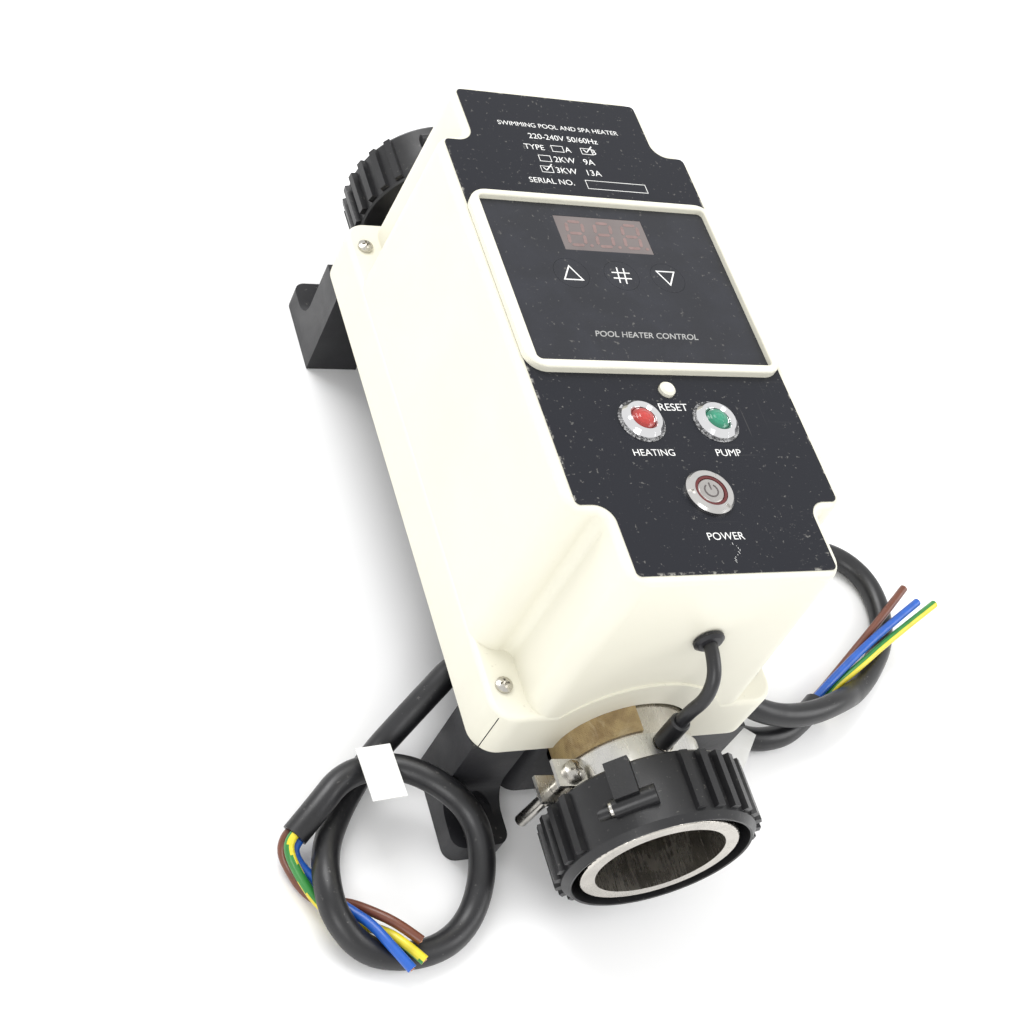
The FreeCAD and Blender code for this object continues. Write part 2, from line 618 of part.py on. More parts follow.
def make_switch():
    body = new_body("switch_housing")
    case = [("0", "0"), ("<switch_barrel>", "0"), ("<switch_barrel>", "27"), ("<switch_radius>", "27"),
            ("<switch_radius>", "28.2"), ("<switch_radius> - 0.7", "29"), ("<switch_ring> + 0.1", "29.2"),
            ("<switch_ring> + 0.1", "23"), ("0", "23")]
    revolve(body, outline(body, "switch_profile", case, "XZ_Plane"))
    slot = rectangle(body, "switch_notch", ("<switch_radius> - 2.3", "-0.9"), ("<switch_radius> + 1", "0.9"),
                     offset="29.3")
    notch = pocket(body, slot, "0.9")
    pattern = body.newObject("PartDesign::PolarPattern", "switch_notches")
    pattern.Originals = [notch]
    axis = next(o for o in body.Origin.OriginFeatures if o.Role == "Z_Axis")
    pattern.Axis = (axis, [""])
    pattern.Occurrences = 3
    body.Tip = pattern
    settle(body, ("0", "<switch_centre>", LABEL_TOP + " - 26.95"), ((0, 0, 1), 62))
    node(body, "switch_housing")
    ring = [("<switch_cap> + 0.1", "0"), ("<switch_ring>", "0"), ("<switch_ring>", "5.4"),
            ("<switch_cap> + 0.1", "5.4")]
    turned("switch_ring", ring, ("0", "<switch_centre>", LABEL_TOP + " - 3.4"))
    cap = [("0", "0"), ("<switch_cap>", "0"), ("<switch_cap>", "3.9"), ("<switch_cap> - 0.4", "4.3"),
           ("0", "4.4")]
    turned("switch_cap", cap, ("0", "<switch_centre>", LABEL_TOP + " - 2.2"))
    hex_nut = hexagon("switch_hex", "11", "3.2", ("0", "<switch_centre>",
                                                  "<cover_top> - <cover_wall> - 3.5"))
    bore = rod("switch_hex_hole", "<switch_barrel> + 0.05", "10",
               ("0", "<switch_centre>", "<cover_top> - 11"))
    node(cut("switch_nut", hex_nut, bore), "switch_nut")


# ---------------------------------------------------------------- steel vessel and element

def make_vessel():
    body = new_body("vessel")
    inner = "<tube_radius> - <tube_wall>"
    neck = "<tube_half_length> - <lip_thick>"
    profile = [("-<tube_half_length>", "0"), ("-<tube_half_length>", "<lip_radius>"),
               ("-(%s)" % neck, "<lip_radius>"), ("-(%s)" % neck, "<tube_radius>"),
               (neck, "<tube_radius>"), (neck, "<lip_radius>"),
               ("<tube_half_length>", "<lip_radius>"), ("<tube_half_length>", "0")]
    revolve(body, outline(body, "vessel_profile", profile, "YZ_Plane"), "H_Axis")
    ports = [("<port_spacing> / 2", "<port_place>"), ("-<port_spacing> / 2", "<port_place>")]
    pad(body, circles(body, "vessel_ports", ports, "<port_radius>", offset="<tube_radius> - 4"), "13")
    pocket_seat = [("0", "<sensor_place>")]
    pad(body, circles(body, "vessel_sensor_pocket", pocket_seat, "<sensor_boss>",
                      offset="<tube_radius> - 1"), "9")
    pocket(body, circles(body, "vessel_bore", [("0", "0")], inner, "XZ_Plane"), "360", midplane=True)
    pocket(body, circles(body, "vessel_port_bores", ports, "<element_radius> + 0.1", offset="40"), "30")
    pocket(body, circles(body, "vessel_sensor_bore", pocket_seat, "<sensor_boss> - 0.7",
                         offset="<tube_radius> + 8"), "6")
    end = dim("tube_half_length")
    dress(body, "Fillet", "0.7", lambda e: abs(abs(e.CenterOfMass.y) - end) < 0.01
          and abs(e.Curve.Radius - dim("lip_radius")) < 0.01)
    settle(body, ("0", "0", "<axis_height>"))
    return node(body, "vessel")


def make_element():
    side = dim("port_spacing") / 2
    place = dim("port_place")
    level = dim("axis_height")
    turn = side * 0.9
    down = [(side, place, level + 44), (side, place, level), (side, -95, level), (0, -95 - turn, level)]
    points = down + [(-x, y, z) for x, y, z in reversed(down[:-1])]
    return routed("heating_element", points, 2 * dim("element_radius"))


def make_element_nuts():
    nuts = []
    for k, x in enumerate(("<port_spacing> / 2", "-<port_spacing> / 2")):
        nut = hexagon("element_hex_%d" % k, "8.6", "5", (x, "<port_place>",
                                                         "<axis_height> + <tube_radius> + 9.05"))
        bore = rod("element_hex_hole_%d" % k, "<element_radius> + 0.1", "12",
                   (x, "<port_place>", "<axis_height> + <tube_radius> + 5"))
        nuts.append(cut("element_nut_%d" % k, nut, bore))
    return group("element_nuts", nuts)


def make_wrap():
    """Heat-resistant wrap, a third of a turn round the tube, proud of the housing at the front."""
    outer = rod("wrap_outer", "<arch_radius> - 0.15", "24", ORIGIN)
    inner = rod("wrap_inner", "<tube_radius> + 0.1", "30", ("0", "0", "-3"))
    outer.Angle = 92
    wrap = cut("insulation_wrap", outer, inner)
    wrap.Placement = Placement(Vector(), Rotation(Vector(0, 1, 0), -102) * Rotation(Vector(1, 0, 0), 90))
    settle(wrap, ("0", "-102.5", "<axis_height>"))
    return node(wrap, "insulation_wrap")


# ---------------------------------------------------------------- union nuts

RIB_ANGLES = range(36, 150, 12)


def nut_half(label, end, seam, flip):
    """Half of a split union nut: own Z runs inwards from the open end, seam on own XZ."""
    body = new_body(label)
    ring = [("<nut_opening>", "0.2"), ("<nut_opening> + 0.8", "0"), ("<nut_radius> - 2", "0.3"),
            ("<nut_radius>", "2.6"), ("<nut_radius>", "<nut_length> - 0.8"),
            ("<nut_radius> - 0.8", "<nut_length>"),
            ("<nut_neck>", "<nut_length>"), ("<nut_neck>", "<nut_shoulder>"),
            ("<nut_opening>", "<nut_shoulder>")]
    revolve(body, outline(body, label + "_ring", ring, "XZ_Plane"), angle="180")
    for k, angle in enumerate(RIB_ANGLES):
        turn = math.radians(angle)
        middle = (math.cos(turn), math.sin(turn))
        across = (-math.sin(turn), math.cos(turn))
        corners = []
        for reach, wide in (("<nut_radius> - 1", "0.5"), ("<rib_radius>", "0.36"), ("<rib_radius>", "-0.36"),
                            ("<nut_radius> - 1", "-0.5")):
            corners.append(tuple("(%s) * %.5f + <rib_width> * %s * %.5f" % (reach, middle[c], wide,
                                                                            across[c])
                                 for c in (0, 1)))
        pad(body, outline(body, "%s_rib_%d" % (label, k), corners, offset="3.4"), "<nut_length> - 4.6")
    for side, wide in (("", "<mound_width>"), ("-", "<boss_width>")):
        name = label + ("_far" if side else "_near")
        low = (side + "(<nut_radius> - 2)", "0")
        lug = rectangle(body, name + "_lug", low, (side + "<lug_top>", "<lug_width>"),
                        offset="<nut_length> - <lug_length>")
        pad(body, lug, "<lug_length>")
        place = [(side + "<nut_screw_reach>", "<nut_screw_place>")]
        pad(body, circles(body, name + "_boss", place, "<boss_radius>", "XZ_Plane"), wide, back=True)
    thread = circles(body, label + "_thread", [("<nut_screw_reach>", "<nut_screw_place>")],
                     "<nut_screw_radius> + 0.05", "XZ_Plane", "1")
    pocket(body, thread, "<mound_width>")
    entry = [("-<nut_screw_reach>", "<nut_screw_place>")]
    clearance = circles(body, label + "_clearance", entry, "<nut_screw_radius> + 0.1", "XZ_Plane", "1")
    pocket(body, clearance, "<boss_width> + 2")
    recess = circles(body, label + "_head_recess", entry, "2.9", "XZ_Plane", "-<boss_width>")
    pocket(body, recess, "6")
    turn_to_end = Rotation(Vector(1, 0, 0), -90 if end < 0 else 90)
    spin = Rotation(Vector(0, 0, 1), seam + (180 if flip else 0))
    body.Placement = Placement(Vector(), turn_to_end * spin)
    bind(body, "Placement.Base.y", "<nut_end> * %d" % end)
    bind(body, "Placement.Base.z", "<axis_height>")
    return node(body, label)


def make_union(name, end, seam):
    first = nut_half(name + "_nut_left", end, seam, False)
    nut_half(name + "_nut_right", end, seam, True)
    screws = []
    for k, side in enumerate((1, -1)):
        screw = pan_screw("%s_nut_screw_%d" % (name, k), "2.6", "1.9", "<nut_screw_radius>",
                          "<boss_width> + 8")
        local = Placement(Vector(-side * dim("nut_screw_reach"), side * (dim("boss_width") + 0.05),
                                 dim("nut_screw_place")), Rotation(Vector(1, 0, 0), -90 * side))
        screw.Placement = first.Placement * local
        screws.append(screw)
    return group(name + "_nut_screws", screws)


# ---------------------------------------------------------------- bonding clamp

def make_clamp():
    """Strap with two ears; own Y along the tube, ears towards own -X."""
    body = new_body("clamp_strap")
    band = circles(body, "strap_outer", [("0", "0")], "<tube_radius> + 0.1 + <strap_thick>", "XZ_Plane")
    pad(body, band, "<strap_wide>", midplane=True)
    ears = rectangle(body, "strap_ears", ("-<ear_reach>", "-<ear_gap> / 2 - 1.5"),
                     ("-20", "<ear_gap> / 2 + 1.5"),
                     "XZ_Plane")
    pad(body, ears, "<strap_wide>", midplane=True)
    gap = rectangle(body, "strap_gap", ("-<ear_reach> - 1", "-<ear_gap> / 2"), ("-20", "<ear_gap> / 2"),
                    "XZ_Plane")
    pocket(body, gap, "<strap_wide> + 2", midplane=True)
    pocket(body, circles(body, "strap_bore", [("0", "0")], "<tube_radius> + 0.1", "XZ_Plane"), "20",
           midplane=True)
    bolt = circles(body, "strap_bolt_hole", [("-31", "0")], "<clamp_bolt> + 0.1", offset="20")
    pocket(body, bolt, "40")
    seat = circles(body, "strap_sensor_hole", [("-<sensor_boss> * 0.6 - 2",
                                                "<sensor_place> - <clamp_place>")],
                   "<sensor_boss> + 1", offset="34")
    pocket(body, seat, "20")
    tilt = ((0, 1, 0), dim("clamp_tilt"))
    settle(body, ("0", "<clamp_place>", "<axis_height>"), tilt)
    node(body, "clamp_strap")
    turn = Placement(Vector(0, dim("clamp_place"), dim("axis_height")),
                     Rotation(Vector(0, 1, 0), dim("clamp_tilt")))
    bolt = pan_screw("clamp_bolt", "4.2", "2.8", "<clamp_bolt>", "<ear_gap> + 26")
    bolt.Placement = turn * Placement(Vector(-31, 0, dim("ear_gap") / 2 + 1.55), Rotation())
    node(bolt, "clamp_bolt")
    outer = hexagon("clamp_hex", "4.7", "4", ORIGIN)
    bore = rod("clamp_hex_hole", "<clamp_bolt> + 0.05", "8", ("0", "0", "-2"))
    nut = cut("clamp_nut", outer, bore)
    nut.Placement = turn * Placement(Vector(-31, 0, -dim("ear_gap") / 2 - 5.6), Rotation())
    node(nut, "clamp_nut")


# ---------------------------------------------------------------- sensor

def make_sensor():
    sleeve = [("<sensor_boss> + 0.05", "0"), ("3.7", "0"), ("3.7", "13.6"), ("3.2", "14.6"),
              ("<lead_diameter> / 2 + 0.05", "14.6"), ("<lead_diameter> / 2 + 0.05", "9.6"),
              ("<sensor_boss> + 0.05", "9.6")]
    turned("sensor_sleeve", sleeve, ("0", "<sensor_place>", "<axis_height> + <tube_radius> + 1.6"))
    ring = [("2.55", "0"), ("4.1", "0"), ("4.1", "3.4"), ("5.6", "3.4"), ("5.6", "4.6"), ("4.4", "5.6"),
            ("2.55", "5.8")]
    body = new_body("sensor_grommet")
    revolve(body, outline(body, "grommet_profile", ring, "XZ_Plane"))
    settle(body, (LEAD_X, "-111.7", LEAD_Z), ((1, 0, 0), 90))
    node(body, "sensor_grommet")
    exit_x, exit_z = float(LEAD_X), float(LEAD_Z)
    seat_y, seat_z = dim("sensor_place"), dim("axis_height") + dim("tube_radius") + 11.4
    points = [(exit_x, -104, exit_z), (exit_x, -119.5, exit_z), (exit_x, -127.5, exit_z - 4),
              (exit_x - 0.7, -131.3, exit_z - 12), (0, seat_y, seat_z + 9.5), (0, seat_y, seat_z)]
    routed("sensor_lead", points, dim("lead_diameter"))


# ---------------------------------------------------------------- cords

# Out of the left gland, down to the floor, once round a flat loop and over itself.
SUPPLY_ROUTE = [
    (-30, -72, 36), (-46, -72, 36), (-59.5, -81.5, 26), (-69, -88, 16.5), (-78, -94.5, 9),
    (-88, -105, 6), (-98.5, -118.5, 6.5), (-106, -131, 10.5), (-110, -144, 14.4), (-109, -156.5, 12.2),
    (-99, -167.5, 5.6), (-84, -171.5, 5), (-69, -169.5, 5), (-57, -161.5, 5.5), (-50.5, -149.5, 10.5),
    (-49, -137, 16), (-52, -126, 20), (-61, -117.5, 24), (-72, -107.5, 21.5), (-84.5, -104, 18),
    (-97, -107.5, 17.8), (-106.5, -116.5, 16.2), (-116, -124.5, 11),
]

# Out of the right gland, round a wide loop on the floor and back under its own start.
PUMP_ROUTE = [
    (30, -72, 36), (46, -72, 36), (63, -83, 29), (81, -94, 21.8), (99, -97.5, 17.5),
    (117, -96, 16), (133.5, -90.5, 14), (150, -83, 6.6), (165, -71.5, 5), (177.5, -58, 5),
    (184, -42, 5), (184, -26, 5), (175, -13, 5), (160, -7.5, 5), (142, -5, 5), (124, -3.5, 5),
    (106, -5.5, 5), (89, -13, 5), (75, -25, 5), (66, -40, 5), (62, -57, 5), (64.5, -75, 5),
    (73, -91, 5), (87, -100.5, 5), (103, -100.5, 5), (116, -94.5, 5), (128, -86, 5),
]

# Each stripped core: its angle round the sheath's end, then the rest of its route.
CORES = {
    "supply_core_brown": (-30, [
        (-120, -129, 5.6), (-117.5, -134, 3.2), (-115, -139.5, 2), (-111, -145, 2), (-105, -147, 2),
        (-99.5, -148.6, 4), (-94, -155, 9.5), (-87, -162, 13), (-80.5, -169, 13)]),
    "supply_core_earth": (90, [
        (-119.1, -131.6, 10.4), (-117.2, -136, 8.4), (-115, -140.5, 6.9), (-112.3, -146.5, 6.2),
        (-108.3, -152, 6),
        (-103, -155.8, 4.4), (-97, -157, 3), (-91.5, -161, 7.2), (-87.5, -167.5, 12.2), (-81, -176, 12.6)]),
    "supply_core_blue": (210, [
        (-115.6, -132, 6.6), (-112.9, -136, 5.6), (-110, -140.5, 6), (-107, -145.8, 6),
        (-103.5, -149.8, 6.6),
        (-100.5, -154.2, 8.8), (-96, -160.2, 11.2), (-92, -169, 13), (-86.5, -178.5, 13)]),
    "pump_core_brown": (240, [(140, -76.2, 4.4), (158.5, -62.5, 11), (173, -52, 15), (189.5, -39.2, 19)]),
    "pump_core_blue": (120, [(139.2, -77, 9.2), (158.2, -65.4, 14.8), (174.5, -56.5, 17),
                             (193.4, -46.8, 19)]),
    "pump_core_earth": (0, [(140.5, -79.4, 6.4), (154.6, -72.6, 12.7), (171, -63.5, 15.4),
                            (202.4, -48.2, 19)]),
}
CORE_PITCH = 0.68
CORE_GAP = 0.1
CORE_STRAIGHT = 3.4


def core_route(cord, start, points):
    """Route of one core, from a core's pitch off the centre of the cord's end."""
    end = Vector(*cord[-1])
    along = (end - Vector(*cord[-2])).normalize()
    side = along.cross(Vector(0, 0, 1)).normalize()
    turn = math.radians(start)
    reach = CORE_PITCH * dim("core_diameter")
    offset = side * (reach * math.cos(turn)) + side.cross(along) * (reach * math.sin(turn))
    return [end + along * gap + offset for gap in (CORE_GAP, CORE_STRAIGHT)] + [Vector(*point) for point in points]


def make_cords():
    for side, cord in (("supply", SUPPLY_ROUTE), ("pump", PUMP_ROUTE)):
        routed(side + "_cord", cord, dim("cord_diameter"))
        for label, (start, points) in CORES.items():
            if label.startswith(side):
                routed(label, core_route(cord, start, points), dim("core_diameter"))
    gland = [("<cord_diameter> / 2 + 0.05", "0"), ("6.4", "0"), ("6.4", "3.3"), ("8.5", "3.3"),
             ("8.5", "5.3"),
             ("7", "7"), ("<cord_diameter> / 2 + 0.05", "7")]
    for name, side in (("supply", -1), ("pump", 1)):
        turned(name + "_gland", gland, ("(<trough_half_width> - 3.2) * %d" % side, GLAND_Y, GLAND_Z),
               ((0, 1, 0), 90 * side))


def make_tag(label, middle, turn, tilt):
    """Folded paper flag resting on a cord."""
    flag = block(label, ("<tag_width>", "<tag_length>", "<tag_thick>"))
    centred = Placement(Vector(-dim("tag_width") / 2, -dim("tag_length") / 2, 0), Rotation())
    lie = Rotation(Vector(0, 0, 1), turn) * Rotation(Vector(1, 0, 0), tilt)
    flag.Placement = Placement(Vector(*middle), lie) * centred
    return node(flag, label)


# ---------------------------------------------------------------- assembly

make_cover()
make_base()
make_cover_screws()
make_label()
make_bezel()
make_panel()
make_electronics()
make_reset()
make_indicators()
make_switch()
make_vessel()
make_element()
make_element_nuts()
make_wrap()
make_union("front", -1, 52)
make_union("rear", 1, 102)
make_clamp()
make_sensor()
make_cords()
make_tag("supply_tag", (-84.6, -110.5, 25.5), 4, 0)
make_tag("pump_tag", (76, -105, 10.6), -40, 0)
doc.recompute()

for thing in doc.Objects:
    if "Invalid" in thing.State or "Error" in thing.State:
        raise RuntimeError("%s is %s" % (thing.Name, thing.State))

os.makedirs("parts", exist_ok=True)
for thing in NODES:
    if thing.Shape.isNull() or not thing.Shape.isValid():
        raise RuntimeError("bad shape: " + thing.Label)
    thing.Shape.exportStep(os.path.join("parts", thing.Label + ".step"))
print("%d nodes written" % len(NODES))
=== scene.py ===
import math
import random

import bmesh
import bpy
from bpy.props import FloatProperty, FloatVectorProperty, PointerProperty, StringProperty
from mathutils import Matrix, Vector


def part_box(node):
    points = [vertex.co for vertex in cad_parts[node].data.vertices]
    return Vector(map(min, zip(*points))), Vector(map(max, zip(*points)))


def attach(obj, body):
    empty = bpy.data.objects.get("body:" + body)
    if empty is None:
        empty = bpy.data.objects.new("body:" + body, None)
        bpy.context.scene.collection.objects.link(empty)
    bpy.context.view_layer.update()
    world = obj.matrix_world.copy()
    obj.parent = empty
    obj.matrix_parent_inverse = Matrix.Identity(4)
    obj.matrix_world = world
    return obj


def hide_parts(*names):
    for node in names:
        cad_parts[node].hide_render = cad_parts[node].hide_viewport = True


bl_info = {
    "name": "Pool heater looks",
    "version": (1, 0, 0),
    "blender": (4, 5, 0),
    "location": "3D View > Sidebar > Heater",
    "description": "Cords, printing, finishes and stage for an electric in-line pool heater",
    "category": "Object",
}

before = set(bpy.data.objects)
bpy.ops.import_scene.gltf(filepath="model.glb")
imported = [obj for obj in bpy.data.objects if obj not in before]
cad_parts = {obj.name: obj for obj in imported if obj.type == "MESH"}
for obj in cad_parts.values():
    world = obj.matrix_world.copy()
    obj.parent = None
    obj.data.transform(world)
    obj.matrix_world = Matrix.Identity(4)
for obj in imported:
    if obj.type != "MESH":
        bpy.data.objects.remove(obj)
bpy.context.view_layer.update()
MM = 0.001
HOUSING = "housing"


def corner_low(node):
    return Vector(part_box(node)[0])


def corner_high(node):
    return Vector(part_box(node)[1])


def middle(node):
    return (corner_low(node) + corner_high(node)) / 2


LABEL_TOP = corner_high("front_label").z
PANEL_TOP = corner_high("control_panel").z
WINDOW_TOP = corner_high("display_window").z
PRINT_LIFT = 0.02 * MM
PRINT_THICK = 0.03 * MM


# ---------------------------------------------------------------- sizes and colours a user would change

def tint(name, description, default):
    return FloatVectorProperty(name=name, description=description, subtype="COLOR", size=3, min=0, max=1,
                               default=default)


def length(name, description, default):
    return FloatProperty(name=name, description=description, default=default, unit="LENGTH", min=0)


class HeaterFinish(bpy.types.PropertyGroup):
    cover: tint("Cover", "Colour of the moulded cover", (0.74, 0.72, 0.61))
    base: tint("Base", "Colour of the base, glands and feet", (0.012, 0.012, 0.014))
    nut: tint("Union nuts", "Colour of the split union nuts", (0.010, 0.010, 0.011))
    label: tint("Label", "Colour of the label and the panel film", (0.011, 0.012, 0.017))
    legend: tint("Legends", "Colour of the printing", (0.80, 0.80, 0.78))
    wrap: tint("Insulation", "Colour of the insulation wrap", (0.40, 0.29, 0.13))
    cord: tint("Cord", "Colour of the cord sheath", (0.007, 0.007, 0.008))
    grain: FloatProperty(name="Grain", description="Depth of the moulded grain", default=0.10, min=0, max=1)


class HeaterCords(bpy.types.PropertyGroup):
    cord_diameter: length("Cord", "Outer diameter of a cord", 10 * MM)
    core_diameter: length("Core", "Outer diameter of one core", 3.7 * MM)
    strand_diameter: length("Strand bundle", "Diameter of the copper in a core", 2.0 * MM)
    core_pitch: FloatProperty(name="Core pitch", default=0.68, min=0,
                              description="How far a core lies off the cord's centre, in core diameters")


class HeaterPrinting(bpy.types.PropertyGroup):
    title: StringProperty(name="Title", description="Words at the top of the label",
                          default="SWIMMING POOL AND SPA HEATER")
    stroke: length("Stroke", "Line width of the symbols", 0.55 * MM)
    slant: FloatProperty(name="Slant", description="Slant of the display's digits", subtype="ANGLE",
                         default=math.radians(8))


class HeaterStage(bpy.types.PropertyGroup):
    floor_size: length("Floor", "Side of the floor", 9.0)
    lens: FloatProperty(name="Lens", description="Focal length on a 36 mm sensor", subtype="DISTANCE_CAMERA",
                        default=62.11)


# ---------------------------------------------------------------- node trees

def add(tree, kind, values=None, **settings):
    """New shader node. A value that is a socket is linked to the input of that name."""
    node = tree.nodes.new("ShaderNode" + kind)
    for key, value in settings.items():
        setattr(node, key, value)
    for key, value in (values or {}).items():
        if isinstance(value, bpy.types.NodeSocket):
            tree.links.new(value, node.inputs[key])
        else:
            node.inputs[key].default_value = value
    return node


def arithmetic(tree, operation, first, second=0.0, clamp=False):
    return add(tree, "Math", {0: first, 1: second}, operation=operation, use_clamp=clamp).outputs[0]


def spread(tree, value, low, high, out_low=0.0, out_high=1.0):
    """Value mapped from one range to another and held inside it."""
    node = add(tree, "MapRange", {"Value": value, "From Min": low, "From Max": high, "To Min": out_low,
                                  "To Max": out_high})
    return node.outputs["Result"]


def blend(tree, factor, first, second):
    """Mix of two colours. Inputs 6 and 7 and output 2 are the colour ones of a Mix node."""
    return add(tree, "Mix", {0: factor, 6: first, 7: second}, data_type="RGBA").outputs[2]


def placed(tree, stretch=(1, 1, 1), turn=(0, 0, 0), centre=(0, 0, 0)):
    """Object coordinates about a centre, turned and stretched."""
    place = add(tree, "TexCoord").outputs["Object"]
    moved = add(tree, "VectorMath", {0: place, 1: centre}, operation="SUBTRACT").outputs[0]
    return add(tree, "Mapping", {"Vector": moved, "Rotation": turn, "Scale": stretch}).outputs[0]


def noise(tree, vector, scale, detail=2.0, roughness=0.5, lumps=0.0):
    node = add(tree, "TexNoise", {"Vector": vector, "Scale": scale, "Detail": detail, "Roughness": roughness,
                                  "Distortion": lumps})
    return node.outputs["Fac"]


EFFECTS = {}


def effect(name, inputs, outputs):
    """Decorator that builds a shared node group once and keeps it by name."""
    def build(make):
        group = bpy.data.node_groups.new(name, "ShaderNodeTree")
        for label, kind, default in inputs:
            socket = group.interface.new_socket(label, in_out="INPUT", socket_type="NodeSocket" + kind)
            socket.default_value = default
        for label, kind in outputs:
            group.interface.new_socket(label, in_out="OUTPUT", socket_type="NodeSocket" + kind)
        entry = group.nodes.new("NodeGroupInput").outputs
        leave = group.nodes.new("NodeGroupOutput").inputs
        for label, socket in make(group, entry).items():
            group.links.new(socket, leave[label])
        EFFECTS[name] = group
        return make
    return build


def use(tree, name, **values):
    """Place a shared effect in a material and give its outputs."""
    node = tree.nodes.new("ShaderNodeGroup")
    node.node_tree = EFFECTS[name]
    for key, value in values.items():
        socket = node.inputs[key.replace("_", " ")]
        if isinstance(value, bpy.types.NodeSocket):
            tree.links.new(value, socket)
        else:
            socket.default_value = value
    return node.outputs


def build_effects():
    @effect("moulded_grain", [("Scale", "Float", 1800.0), ("Waves", "Float", 0.2)], [("Height", "Float")])
    def moulded_grain(tree, entry):
        place = placed(tree)
        fine = noise(tree, place, entry["Scale"], 3.0, 0.6)
        slow = noise(tree, place, 45.0, 2.0)
        waves = arithmetic(tree, "MULTIPLY", slow, entry["Waves"])
        return {"Height": arithmetic(tree, "ADD", fine, waves)}

    @effect("mottle", [("Colour", "Color", (1, 1, 1, 1)), ("Shade", "Color", (0, 0, 0, 1)),
                       ("Scale", "Float", 30.0), ("Amount", "Float", 0.3)], [("Colour", "Color")])
    def mottle(tree, entry):
        cloud = noise(tree, placed(tree), entry["Scale"], 4.0, 0.55, 0.4)
        share = arithmetic(tree, "MULTIPLY", spread(tree, cloud, 0.42, 0.72), entry["Amount"])
        return {"Colour": blend(tree, share, entry["Colour"], entry["Shade"])}

    @effect("handling", [("Low", "Float", 0.3), ("High", "Float", 0.5), ("Scale", "Float", 40.0)],
            [("Roughness", "Float")])
    def handling(tree, entry):
        place = placed(tree)
        smear = noise(tree, place, entry["Scale"], 5.0, 0.62, 0.7)
        share = spread(tree, smear, 0.3, 0.7)
        span = arithmetic(tree, "SUBTRACT", entry["High"], entry["Low"])
        return {"Roughness": arithmetic(tree, "ADD", arithmetic(tree, "MULTIPLY", share, span), entry["Low"])}

    @effect("hairlines", [("Scale", "Float", 1.0), ("Amount", "Float", 0.1)], [("Mask", "Float")])
    def hairlines(tree, entry):
        total = None
        for turn, stretch in ((0.5, (25, 1500, 400)), (-1.1, (1700, 40, 500)), (2.2, (60, 2300, 300))):
            place = placed(tree, stretch, (0.0, 0.0, turn))
            line = spread(tree, noise(tree, place, entry["Scale"], 1.0), 0.74, 0.80)
            total = line if total is None else arithmetic(tree, "MAXIMUM", total, line)
        patches = spread(tree, noise(tree, placed(tree), 22.0, 2.0), 0.52, 0.66)
        patchy = arithmetic(tree, "MULTIPLY", total, patches)
        return {"Mask": arithmetic(tree, "MULTIPLY", patchy, entry["Amount"])}

    @effect("dust", [("Amount", "Float", 0.1), ("Scale", "Float", 700.0)], [("Mask", "Float")])
    def dust(tree, entry):
        up = add(tree, "SeparateXYZ", {0: add(tree, "NewGeometry").outputs["Normal"]}).outputs["Z"]
        specks = spread(tree, noise(tree, placed(tree), entry["Scale"], 2.0, 0.7), 0.66, 0.74)
        lying = arithmetic(tree, "MULTIPLY", specks, spread(tree, up, 0.2, 0.9))
        return {"Mask": arithmetic(tree, "MULTIPLY", lying, entry["Amount"])}

    @effect("drawn_metal", [("Scale", "Float", 1.0), ("Low", "Float", 0.2), ("High", "Float", 0.4)],
            [("Height", "Float"), ("Roughness", "Float")])
    def drawn_metal(tree, entry):
        fine = noise(tree, placed(tree, (900, 60, 900)), entry["Scale"], 3.0, 0.7)
        smear = noise(tree, placed(tree), 60.0, 4.0, 0.6, 0.5)
        both = arithmetic(tree, "MULTIPLY", arithmetic(tree, "ADD", fine, smear), 0.5)
        return {"Height": fine, "Roughness": spread(tree, both, 0.35, 0.65, entry["Low"], entry["High"])}


def material(name, colour, roughness=0.5, **constants):
    """Principled material. Gives the material, its tree and its shader."""
    made = bpy.data.materials.new(name)
    made.use_nodes = True
    tree = made.node_tree
    shader = tree.nodes["Principled BSDF"]
    shader.inputs["Base Color"].default_value = (*colour[:3], 1)
    shader.inputs["Roughness"].default_value = roughness
    for key, value in constants.items():
        shader.inputs[key.replace("_", " ")].default_value = value
    return made, tree, shader


def bump(tree, shader, height, strength, distance):
    node = add(tree, "Bump", {"Height": height, "Strength": strength, "Distance": distance})
    tree.links.new(node.outputs["Normal"], shader.inputs["Normal"])


def feed(tree, shader, **sockets):
    for key, socket in sockets.items():
        tree.links.new(socket, shader.inputs[key.replace("_", " ")])


def rgba(colour, factor=1.0):
    return (*[channel * factor for channel in colour[:3]], 1)


# ---------------------------------------------------------------- finishes

def moulded_cover(finish):
    made, tree, shader = material("moulded_cover", finish.cover, 0.42, Coat_Weight=0.05, Coat_Roughness=0.3)
    warm = use(tree, "mottle", Colour=rgba(finish.cover), Shade=rgba(finish.cover, 0.90), Scale=14.0,
               Amount=0.5)
    specks = use(tree, "dust", Amount=0.25, Scale=420.0)["Mask"]
    dusty = blend(tree, specks, warm["Colour"], rgba((0.30, 0.28, 0.22)))
    marks = use(tree, "hairlines", Scale=1.0, Amount=0.25)["Mask"]
    feed(tree, shader, Base_Color=blend(tree, marks, dusty, rgba(finish.cover, 0.8)),
         Roughness=use(tree, "handling", Low=0.36, High=0.50, Scale=34.0)["Roughness"])
    bump(tree, shader, use(tree, "moulded_grain", Scale=1500.0, Waves=0.8)["Height"], finish.grain, 0.12 * MM)
    return made


